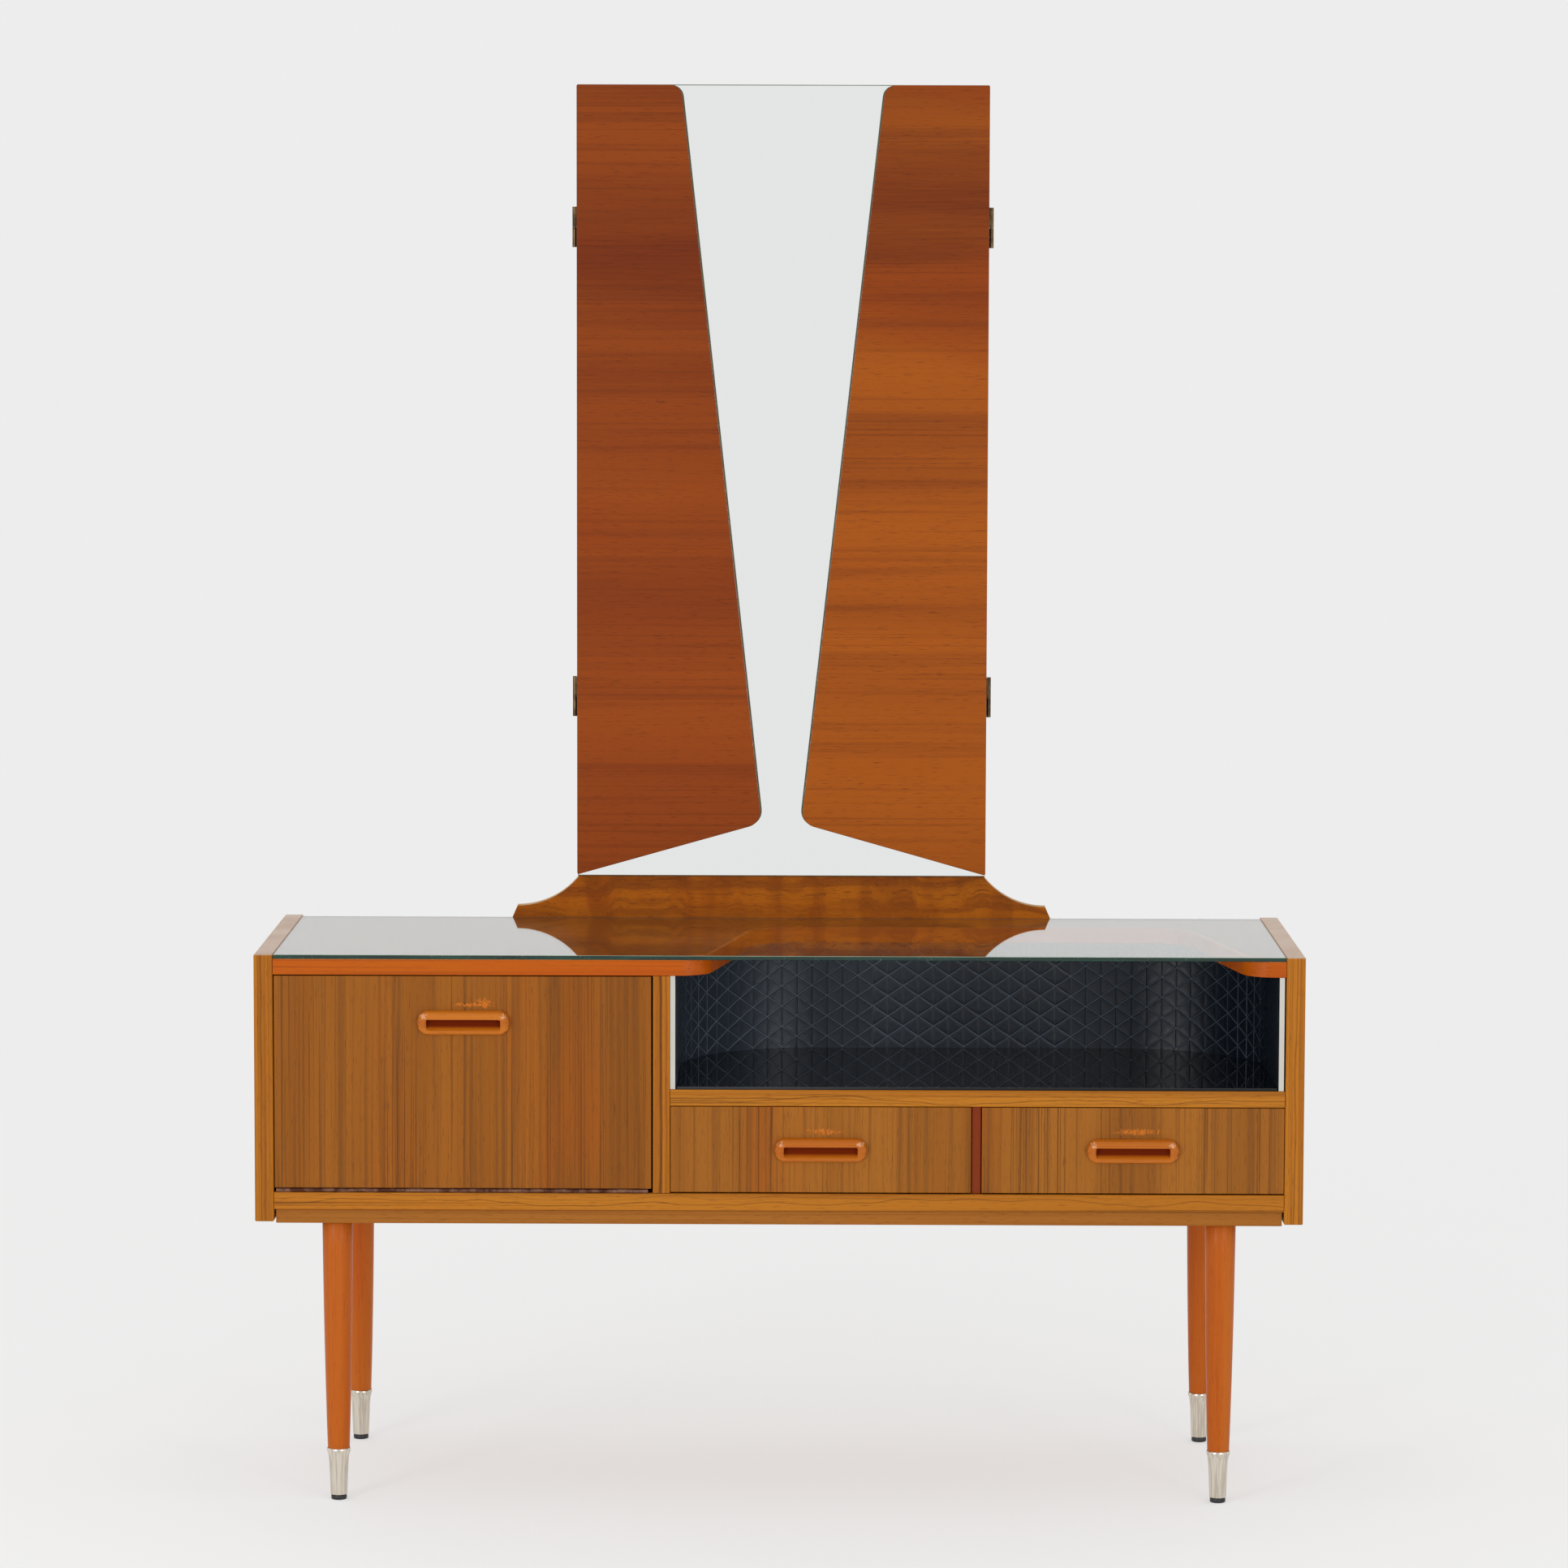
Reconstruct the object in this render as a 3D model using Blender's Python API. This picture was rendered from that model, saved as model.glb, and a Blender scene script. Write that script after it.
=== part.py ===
# Vanity table: a wooden cabinet on four turned legs, with a glass top, a lined niche,
# a drop-front flap, two drawers and a mirror with two folding wings.
#
# Metres, +Z up. The origin is on the floor under the centre of the object's box.
# The front faces -Y, and left and right are as seen from the front.

import math

import bmesh
import bpy
from mathutils import Vector

# Driving dimensions.
WIDTH = 1.250
TOP_Z = 0.6640
SIDE_BOTTOM_Z = 0.3430
CABINET_DEPTH = 0.4000
SIDE_THICK = 0.0225
GLASS_THICK = 0.0050
GLASS_SIDE_GAP = 0.0004
GLASS_REAR_GAP = 0.0012
GAP = 0.0003
EDGE_BEVEL = 0.0006
PANEL_BEVEL = 0.0010

HANDLE_PROUD = 0.0115
BATTEN_THICK = 0.0180

# The object reaches from the handles' fronts to the battens' backs, and the origin is midway.
BACK_OF_BATTENS = CABINET_DEPTH + GAP + BATTEN_THICK
FRONT = -(BACK_OF_BATTENS - HANDLE_PROUD) / 2
BACK = FRONT + CABINET_DEPTH

INNER = WIDTH / 2 - SIDE_THICK - GAP
GLASS_BOTTOM_Z = TOP_Z - GLASS_THICK
TOP_PANEL_Z = (0.6401, GLASS_BOTTOM_Z - GAP)
BOTTOM_PANEL_Z = (0.3580, 0.3785)
BASE_RAIL_Z = (0.3407, BOTTOM_PANEL_Z[0] - GAP)
BASE_RAIL_HALF = 0.6003
BASE_RAIL_SETBACK = 0.0040
BASE_RAIL_DEPTH = 0.0700
BACK_PANEL_THICK = 0.0060
INSIDE_BACK = BACK - BACK_PANEL_THICK - GAP
UNDER_TOP_Z = TOP_PANEL_Z[0] - GAP

PARTITION_X = (-0.1502, -0.1300)
SHELF_Z = (0.4841, 0.5036)
DIVIDER_X = (0.2296, 0.2409)
DIVIDER_SETBACK = 0.0040

# The cut-out in the top panel: its sides slant inwards towards the back.
LIPPING_THICK = 0.0060
CUTOUT_FRONT_HALF = 0.3225
CUTOUT_BACK_HALF = 0.2645
CUTOUT_DEPTH = 0.2920
CUTOUT_FRONT_RADIUS = 0.0400
CUTOUT_BACK_RADIUS = 0.0600

# The niche's lining, as a U in plan.
NICHE_SHELL_THICK = 0.0060
VINYL_THICK = 0.0015
NICHE_OUTER_X = (PARTITION_X[1] + GAP, 0.6005)
NICHE_RADIUS = 0.1650
NICHE_DEPTH = 0.3310
NICHE_FLOOR_THICK = 0.0030
LINING_SETBACK = 0.0010
VINYL_SETBACK = 0.0030
NICHE_CENTRE = (NICHE_OUTER_X[0] + NICHE_OUTER_X[1]) / 2

FLAP_X = (-0.6012, -0.1522)
FLAP_Z = (0.3840, 0.6388)
FRONT_THICK = 0.0180
FLAP_AXIS_Z = 0.3812
PIANO_X = (-0.5995, -0.1560)
PIANO_KNUCKLES = 25
PIANO_RADIUS = 0.0021
PIANO_PIN_RADIUS = 0.0009
PIANO_LEAF = 0.0008
PIANO_LEAF_Y = (0.0026, 0.0150)
PIANO_LEAF_OUTER = 0.0024
CATCH_SIZE = (0.0400, 0.0215, 0.0107)
CATCH_PLAY = 0.0005

# The stay's pivot and stud lie at one radius from the flap's axis, so the bar, which joins
# them, turns at half the flap's rate.
STAY_RADIUS = 0.1300
STAY_PIVOT_ANGLE = math.radians(76)
STAY_STUD_ANGLE = math.radians(58)
STAY_BAR_X = (-0.1605, -0.1590)
STAY_LUG_X = (-0.1587, -0.1572)
STAY_STUD_RADIUS = 0.0023
STAY_RIVET_RADIUS = 0.0020
STAY_PLAY = 0.0003

DRAWER_Z = (0.3803, 0.4832)
DRAWER_X = {"left": (-0.1292, 0.2288), "right": (0.2417, 0.6017)}
CARCASE_INSET = 0.0030
CARCASE_THICK = 0.0100
CARCASE_Z = (0.3790, 0.4700)
CARCASE_BACK = 0.3700
DRAWER_BOTTOM_Z = (0.3850, 0.3890)

HANDLE_SIZE = (0.1090, 0.0290)
HANDLE_CORNER = 0.0125
HANDLE_SLOT_HALF = 0.0452
HANDLES = {
    "flap": (-0.3755, 0.5833),
    "drawer_left": (0.0498, 0.4316),
    "drawer_right": (0.4217, 0.4316),
}

LEG_X = {"front": 0.5290, "rear": 0.5304}
LEG_Y = {"front": 0.0300, "rear": 0.3710}
LEG_TOP_RADIUS = 0.0183
LEG_BELLY = (0.0164, 0.2000)
LEG_ANKLE_RADIUS = 0.0134
LEG_ANKLE_Z = 0.0640
# The spigot inside the ferrule, as (radius, height) from its foot up.
LEG_SPIGOT = [(0.0084, 0.0125), (0.0100, 0.0400), (0.0110, 0.0535), (0.0123, 0.0590)]
FERRULE_PLAY = 0.0004
GLIDE_RADIUS = 0.0094
GLIDE_TOP_Z = 0.0057

MIRROR_HALF = 0.2553
MIRROR_TOP_Z = 1.7027
MIRROR_GLASS_BOTTOM_Z = 0.7170
MIRROR_GLASS_THICK = 0.0040
MIRROR_BOARD_THICK = 0.0170
WING_BOARD_THICK = 0.0160
WING_GAP = 0.0012
WING_BOTTOM_Z = 0.7205
WING_TOP_Z = 1.7020
WING_INNER_TOP = (0.1246, WING_TOP_Z)
WING_INNER_BOTTOM = (0.0230, 0.7857)
WING_GLASS_MARGIN = 0.0018
FOOT_HALF = 0.3400
FOOT_TIP = (0.3315, 0.6785)
FOOT_ARC_RADIUS = 0.0983

MIRROR_HINGE_X = 0.2586
MIRROR_HINGE_Z = (0.9180, 1.5020)
MIRROR_HINGE_LENGTH = 0.0500
MIRROR_HINGE_RADIUS = 0.0028
MIRROR_PIN_RADIUS = 0.0012
MIRROR_LEAF = (0.0012, 0.0190)

BATTEN_X = 0.1600
BATTEN_WIDTH = 0.0400
BATTEN_Z = (0.4200, 1.3000)

# The mirror's layers, from the cabinet's back forwards.
MIRROR_BOARD_Y = (BACK - GAP - MIRROR_BOARD_THICK, BACK - GAP)
CENTRE_GLASS_Y = (MIRROR_BOARD_Y[0] - GAP - MIRROR_GLASS_THICK, MIRROR_BOARD_Y[0] - GAP)
WING_GLASS_Y = (
    CENTRE_GLASS_Y[0] - WING_GAP - MIRROR_GLASS_THICK,
    CENTRE_GLASS_Y[0] - WING_GAP,
)
WING_BOARD_Y = (WING_GLASS_Y[0] - GAP - WING_BOARD_THICK, WING_GLASS_Y[0] - GAP)
MIRROR_AXIS_Y = CENTRE_GLASS_Y[0] - WING_GAP / 2
GLASS_TOP_BACK = MIRROR_BOARD_Y[0] - GLASS_REAR_GAP


# Materials: colour, roughness, metallic.
FINISHES = {
    "teak_light": ((0.50, 0.22, 0.065), 0.45, 0.0),
    "teak_veneer": ((0.33, 0.13, 0.035), 0.45, 0.0),
    "wood_orange": ((0.55, 0.17, 0.02), 0.35, 0.0),
    "wood_red": ((0.26, 0.065, 0.015), 0.40, 0.0),
    "wood_pale": ((0.62, 0.45, 0.27), 0.60, 0.0),
    "hardboard": ((0.30, 0.18, 0.10), 0.70, 0.0),
    "white_board": ((0.75, 0.75, 0.72), 0.45, 0.0),
    "black_vinyl": ((0.015, 0.017, 0.021), 0.40, 0.0),
    "black_glass": ((0.005, 0.006, 0.008), 0.05, 0.0),
    "clear_glass": ((0.55, 0.75, 0.68), 0.03, 0.0),
    "mirror": ((0.85, 0.88, 0.87), 0.02, 1.0),
    "nickel": ((0.60, 0.56, 0.47), 0.30, 1.0),
    "brass": ((0.55, 0.40, 0.16), 0.35, 1.0),
    "black_rubber": ((0.02, 0.02, 0.02), 0.60, 0.0),
}

materials = {}
pivots = {}


def clear_scene():
    for obj in list(bpy.data.objects):
        bpy.data.objects.remove(obj, do_unlink=True)


def make_materials():
    for name, (color, roughness, metallic) in FINISHES.items():
        material = bpy.data.materials.new(name)
        material.use_nodes = True
        shader = material.node_tree.nodes["Principled BSDF"]
        shader.inputs["Base Color"].default_value = (*color, 1.0)
        shader.inputs["Roughness"].default_value = roughness
        shader.inputs["Metallic"].default_value = metallic
        material.diffuse_color = (*color, 1.0)
        materials[name] = material


def make_pivot(name, location):
    pivot = bpy.data.objects.new(name, None)
    pivot.empty_display_size = 0.03
    pivot.location = location
    bpy.context.collection.objects.link(pivot)
    pivots[name] = Vector(location)
    return pivot


def add_object(name, bm, finish, location=(0, 0, 0), parent=None, rotation=(0, 0, 0)):
    # Location is given in the world, and a parent is an empty that isn't rotated.
    bmesh.ops.recalc_face_normals(bm, faces=bm.faces)
    mesh = bpy.data.meshes.new(name)
    bm.to_mesh(mesh)
    bm.free()
    obj = bpy.data.objects.new(name, mesh)
    bpy.context.collection.objects.link(obj)
    mesh.materials.append(materials[finish])
    obj.rotation_euler = rotation
    obj.location = Vector(location)
    if parent is not None:
        obj.parent = parent
        obj.location = Vector(location) - pivots[parent.name]
    return obj


def smooth(obj, angle=35):
    obj.data.shade_smooth()
    obj.data.set_sharp_from_angle(angle=math.radians(angle))


def add_bevel(obj, width=EDGE_BEVEL, segments=1):
    bevel = obj.modifiers.new("edges", "BEVEL")
    bevel.width = width
    bevel.segments = segments
    bevel.limit_method = "ANGLE"
    bevel.angle_limit = math.radians(50)


def box_mesh(size):
    bm = bmesh.new()
    bmesh.ops.create_cube(bm, size=1.0)
    bmesh.ops.scale(bm, vec=size, verts=bm.verts)
    return bm


def add_board(name, x, y, z, finish, parent=None, bevel=EDGE_BEVEL):
    size = (x[1] - x[0], y[1] - y[0], z[1] - z[0])
    centre = ((x[0] + x[1]) / 2, (y[0] + y[1]) / 2, (z[0] + z[1]) / 2)
    obj = add_object(name, box_mesh(size), finish, centre, parent)
    if bevel:
        add_bevel(obj, bevel)
    return obj


def add_shape(target, bm, operation, location=(0, 0, 0)):
    # A hidden helper that a Boolean joins to the target or cuts from it.
    bmesh.ops.recalc_face_normals(bm, faces=bm.faces)
    mesh = bpy.data.meshes.new(target.name + "_helper")
    bm.to_mesh(mesh)
    bm.free()
    helper = bpy.data.objects.new(mesh.name, mesh)
    bpy.context.collection.objects.link(helper)
    helper.location = location
    helper.hide_render = True
    helper.display_type = "WIRE"
    boolean = target.modifiers.new(operation.lower(), "BOOLEAN")
    boolean.operation = operation
    boolean.solver = "EXACT"
    boolean.object = helper
    return helper


def round_corners(corners, steps=8):
    # Each corner is (u, v, radius). A radius of 0 keeps the corner sharp.
    outline = []
    count = len(corners)
    for index, (u, v, radius) in enumerate(corners):
        here = Vector((u, v))
        if radius == 0:
            outline.append(here)
            continue
        before = (Vector(corners[index - 1][:2]) - here).normalized()
        after = (Vector(corners[(index + 1) % count][:2]) - here).normalized()
        half = before.angle(after) / 2
        centre = here + (before + after).normalized() * (radius / math.sin(half))
        first = here + before * (radius / math.tan(half)) - centre
        last = here + after * (radius / math.tan(half)) - centre
        sweep = first.angle_signed(last)
        start = math.atan2(first.y, first.x)
        for step in range(steps + 1):
            angle = start - sweep * step / steps
            outline.append(centre + Vector((math.cos(angle), math.sin(angle))) * radius)
    return outline


def prism_mesh(outline, low, high, plane="XY"):
    # The outline is drawn in one plane and extruded along the third axis.
    place = {
        "XY": lambda u, v, w: (u, v, w),
        "XZ": lambda u, v, w: (u, w, v),
        "YZ": lambda u, v, w: (w, u, v),
    }[plane]
    bm = bmesh.new()
    start = [bm.verts.new(place(u, v, low)) for u, v in outline]
    face = bm.faces.new(start)
    swept = bmesh.ops.extrude_face_region(bm, geom=[face])
    moved = [item for item in swept["geom"] if isinstance(item, bmesh.types.BMVert)]
    shift = Vector(place(0, 0, high - low))
    bmesh.ops.translate(bm, verts=moved, vec=shift)
    return bm


def turned_mesh(profile, segments=24, axis="Z"):
    # The profile is (radius, height) from one end of the axis to the other.
    bm = bmesh.new()
    turn = {"Z": Vector((0, 0, 1)), "X": Vector((1, 0, 0))}[axis]
    points = []
    for radius, height in profile:
        points.append((radius, 0, height) if axis == "Z" else (height, radius, 0))
    verts = [bm.verts.new(point) for point in points]
    edges = [bm.edges.new(pair) for pair in zip(verts, verts[1:])]
    bmesh.ops.spin(
        bm,
        geom=verts + edges,
        cent=(0, 0, 0),
        axis=turn,
        angle=math.tau,
        steps=segments,
        use_merge=True,
    )
    bmesh.ops.remove_doubles(bm, verts=bm.verts, dist=1e-6)
    return bm


def rod_mesh(radius, low, high, segments=16, axis="X"):
    return turned_mesh([(0, low), (radius, low), (radius, high), (0, high)], segments, axis)


def make_cabinet():
    for side, sign in (("left", -1), ("right", 1)):
        x = sorted((sign * WIDTH / 2, sign * (WIDTH / 2 - SIDE_THICK)))
        add_board(
            f"side_panel_{side}",
            x,
            (FRONT, BACK),
            (SIDE_BOTTOM_Z, TOP_Z),
            "teak_light",
            bevel=PANEL_BEVEL,
        )
    add_board("bottom_panel", (-INNER, INNER), (FRONT, INSIDE_BACK), BOTTOM_PANEL_Z, "teak_light")
    rail_x = (-BASE_RAIL_HALF, BASE_RAIL_HALF)
    rail_front = FRONT + BASE_RAIL_SETBACK
    add_board(
        "base_rail_front", rail_x, (rail_front, rail_front + BASE_RAIL_DEPTH), BASE_RAIL_Z, "teak_light"
    )
    add_board(
        "base_rail_back", rail_x, (INSIDE_BACK - BASE_RAIL_DEPTH, INSIDE_BACK), BASE_RAIL_Z, "teak_light"
    )
    above_bottom = BOTTOM_PANEL_Z[1] + GAP
    add_board(
        "partition_panel", PARTITION_X, (FRONT, INSIDE_BACK), (above_bottom, UNDER_TOP_Z), "teak_light"
    )
    add_board(
        "niche_shelf", (PARTITION_X[1] + GAP, INNER), (FRONT, INSIDE_BACK), SHELF_Z, "teak_light"
    )
    add_board(
        "drawer_divider",
        DIVIDER_X,
        (FRONT + DIVIDER_SETBACK, INSIDE_BACK),
        (above_bottom, SHELF_Z[0] - GAP),
        "wood_red",
    )
    add_board(
        "back_panel",
        (-INNER, INNER),
        (BACK - BACK_PANEL_THICK, BACK),
        (BOTTOM_PANEL_Z[0], UNDER_TOP_Z),
        "hardboard",
        bevel=0,
    )


def cutout_path(offset):
    # The open path along the top panel's front edge and round the cut-out, moved into the
    # wood by an offset. The slanted sides keep their slope.
    slant = math.atan2(CUTOUT_FRONT_HALF - CUTOUT_BACK_HALF, CUTOUT_DEPTH)
    spread = offset * math.tan((math.pi / 2 - slant) / 2)
    front = FRONT + offset
    back = FRONT + CUTOUT_DEPTH + offset
    middle = NICHE_CENTRE
    wide = CUTOUT_FRONT_HALF + spread
    narrow = CUTOUT_BACK_HALF + spread
    return [
        (-INNER, front, 0),
        (middle - wide, front, CUTOUT_FRONT_RADIUS - offset),
        (middle - narrow, back, CUTOUT_BACK_RADIUS + offset),
        (middle + narrow, back, CUTOUT_BACK_RADIUS + offset),
        (middle + wide, front, CUTOUT_FRONT_RADIUS - offset),
        (INNER, front, 0),
    ]


def make_top():
    rear = [(INNER, BACK, 0), (-INNER, BACK, 0)]
    panel_outline = round_corners(cutout_path(LIPPING_THICK + GAP) + rear, steps=12)
    add_object("top_panel", prism_mesh(panel_outline, *TOP_PANEL_Z), "teak_veneer")
    outer_edge = round_corners(cutout_path(0) + rear, steps=12)[:-2]
    inner_edge = round_corners(cutout_path(LIPPING_THICK) + rear, steps=12)[:-2]
    lipping_outline = outer_edge + inner_edge[::-1]
    add_object("top_lipping", prism_mesh(lipping_outline, *TOP_PANEL_Z), "wood_orange")
    half = INNER - GLASS_SIDE_GAP
    add_board(
        "glass_top", (-half, half), (FRONT, GLASS_TOP_BACK), (GLASS_BOTTOM_Z, TOP_Z), "clear_glass"
    )


def niche_path(offset, front):
    # The U of the lining's wall in plan. The offset runs outwards from the vinyl's surface.
    skin = NICHE_SHELL_THICK + VINYL_THICK + GAP
    low = NICHE_OUTER_X[0] + skin - offset
    high = NICHE_OUTER_X[1] - skin + offset
    back = FRONT + NICHE_DEPTH + offset
    radius = NICHE_RADIUS + offset
    return [
        (low, front, 0),
        (low, back, radius),
        (high, back, radius),
        (high, front, 0),
    ]


def wall_outline(inner, outer, front):
    inside = round_corners(niche_path(inner, front), steps=12)
    outside = round_corners(niche_path(outer, front), steps=12)
    return inside + outside[::-1]


def make_niche():
    low = SHELF_Z[1] + GAP
    vinyl = wall_outline(0, VINYL_THICK, FRONT + VINYL_SETBACK)
    add_object("niche_vinyl", prism_mesh(vinyl, low, UNDER_TOP_Z), "black_vinyl")
    shell_inner = VINYL_THICK + GAP
    shell = wall_outline(shell_inner, shell_inner + NICHE_SHELL_THICK, FRONT + LINING_SETBACK)
    add_object("niche_shell", prism_mesh(shell, low, UNDER_TOP_Z), "white_board")
    floor = round_corners(niche_path(-GAP, FRONT + LINING_SETBACK), steps=12)
    add_object("niche_floor_glass", prism_mesh(floor, low, low + NICHE_FLOOR_THICK), "black_glass")


def make_legs():
    leg_profile = [
        (0, LEG_SPIGOT[0][1]),
        *LEG_SPIGOT,
        (LEG_ANKLE_RADIUS, LEG_ANKLE_Z),
        LEG_BELLY,
        (LEG_TOP_RADIUS, BASE_RAIL_Z[0] - GAP),
        (0, BASE_RAIL_Z[0] - GAP),
    ]
    ferrule_profile = [
        (0, GLIDE_TOP_Z + GAP),
        (0.0102, GLIDE_TOP_Z + GAP),
        (0.0113, 0.0400),
        (0.0123, 0.0535),
        (0.0136, 0.0590),
        (0.01425, 0.0608),
        (0.01425, 0.0622),
        (0.0140, 0.0632),
        (LEG_ANKLE_RADIUS + FERRULE_PLAY, 0.0632),
        *[(radius + FERRULE_PLAY, z) for radius, z in reversed(LEG_SPIGOT[1:])],
        (LEG_SPIGOT[0][0] + FERRULE_PLAY, LEG_SPIGOT[0][1] - GAP),
        (0, LEG_SPIGOT[0][1] - GAP),
    ]
    glide_profile = [
        (0, 0),
        (GLIDE_RADIUS - 0.0012, 0),
        (GLIDE_RADIUS, 0.0012),
        (GLIDE_RADIUS, GLIDE_TOP_Z),
        (0, GLIDE_TOP_Z),
    ]
    for row, depth in LEG_Y.items():
        for side, sign in (("left", -1), ("right", 1)):
            spot = (sign * LEG_X[row], FRONT + depth, 0)
            corner = f"{row}_{side}"
            leg = add_object(f"leg_{corner}", turned_mesh(leg_profile), "wood_orange", spot)
            ferrule = add_object(f"ferrule_{corner}", turned_mesh(ferrule_profile), "nickel", spot)
            glide = add_object(f"glide_{corner}", turned_mesh(glide_profile), "black_rubber", spot)
            for piece in (leg, ferrule, glide):
                smooth(piece)


def make_handle(name, parent=None):
    # A wedge whose ridge overhangs a slot. Profiles are (y, z) from the centre of its back.
    width, height = HANDLE_SIZE
    top, bottom = height / 2, -height / 2
    x, z = HANDLES[name]
    where = (x, FRONT, z)
    ridge = -HANDLE_PROUD
    body = [
        (-GAP, bottom),
        (-GAP, top),
        (-0.0015, top),
        (ridge, 0.0018),
        (ridge, 0.0010),
        (-0.0075, 0.0003),
        (-0.0020, bottom),
    ]
    pocket = [
        (-0.0068, 0.0052),
        (-0.0016, 0.0052),
        (-0.0016, -0.0040),
        (-0.0045, -0.0095),
        (-0.0130, -0.0095),
        (-0.0130, 0.0007),
        (-0.0068, 0.0007),
    ]
    handle = add_object(
        f"{name}_handle",
        prism_mesh(body, -width / 2, width / 2, "YZ"),
        "wood_orange",
        where,
        parent,
    )
    ends = round_corners(
        [
            (-width / 2, bottom, HANDLE_CORNER),
            (width / 2, bottom, HANDLE_CORNER),
            (width / 2, top, HANDLE_CORNER),
            (-width / 2, top, HANDLE_CORNER),
        ],
        steps=6,
    )
    add_shape(handle, prism_mesh(ends, -0.02, 0.02, "XZ"), "INTERSECT", where)
    slot = prism_mesh(pocket, -HANDLE_SLOT_HALF, HANDLE_SLOT_HALF, "YZ")
    add_shape(handle, slot, "DIFFERENCE", where)
    return handle


def make_flap(pivot):
    y = (FRONT, FRONT + FRONT_THICK)
    add_board("flap_panel", FLAP_X, y, FLAP_Z, "teak_veneer", pivot)
    make_handle("flap", pivot)
    make_piano_hinge(pivot)
    catch_x = HANDLES["flap"][0]
    wide, deep, tall = CATCH_SIZE
    add_board(
        "flap_catch",
        (catch_x - wide / 2, catch_x + wide / 2),
        (y[1] + CATCH_PLAY, y[1] + CATCH_PLAY + deep),
        (UNDER_TOP_Z - tall, UNDER_TOP_Z),
        "black_rubber",
    )


def make_piano_hinge(pivot):
    pitch = (PIANO_X[1] - PIANO_X[0]) / PIANO_KNUCKLES
    axis = (0, FRONT, FLAP_AXIS_Z)
    reach = PIANO_LEAF_Y
    below = (-PIANO_LEAF_OUTER, -PIANO_LEAF_OUTER + PIANO_LEAF)
    above = (PIANO_LEAF_OUTER - PIANO_LEAF, PIANO_LEAF_OUTER)

    def leaf(name, height, parity, parent):
        size = (PIANO_X[1] - PIANO_X[0], reach[1] - reach[0], PIANO_LEAF)
        plate = box_mesh(size)
        middle = ((PIANO_X[0] + PIANO_X[1]) / 2, (reach[0] + reach[1]) / 2, sum(height) / 2)
        bmesh.ops.translate(plate, verts=plate.verts, vec=middle)
        obj = add_object(name, plate, "brass", axis, parent)
        knuckles = bmesh.new()
        for index in range(parity, PIANO_KNUCKLES, 2):
            low = PIANO_X[0] + index * pitch + 0.0001
            high = low + pitch - 0.0002
            barrel = rod_mesh(PIANO_RADIUS, low, high, 12)
            append(knuckles, barrel)
        add_shape(obj, knuckles, "UNION", axis)
        tabs = bmesh.new()
        for index in range(parity, PIANO_KNUCKLES, 2):
            low = PIANO_X[0] + index * pitch + 0.0006
            high = low + pitch - 0.0012
            tab = box_mesh((high - low, reach[0] + 0.0006, PIANO_LEAF * 0.8))
            spot = ((low + high) / 2, (reach[0] + 0.0006) / 2, sum(height) / 2)
            bmesh.ops.translate(tab, verts=tab.verts, vec=spot)
            append(tabs, tab)
        add_shape(obj, tabs, "UNION", axis)
        return obj

    fixed = leaf("flap_hinge_fixed_leaf", below, 0, None)
    moving = leaf("flap_hinge_moving_leaf", above, 1, pivot)
    pin = rod_mesh(PIANO_PIN_RADIUS, PIANO_X[0] + 0.002, PIANO_X[1] - 0.002, 8)
    add_shape(fixed, pin, "UNION", axis)
    bore = rod_mesh(PIANO_PIN_RADIUS + 0.0002, PIANO_X[0] - 0.01, PIANO_X[1] + 0.01, 8)
    add_shape(moving, bore, "DIFFERENCE", axis)


def append(bm, extra):
    mesh = bpy.data.meshes.new("scratch")
    extra.to_mesh(mesh)
    extra.free()
    bm.from_mesh(mesh)
    bpy.data.meshes.remove(mesh)


def around_flap_axis(angle):
    return (FRONT + STAY_RADIUS * math.cos(angle), FLAP_AXIS_Z + STAY_RADIUS * math.sin(angle))


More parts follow.
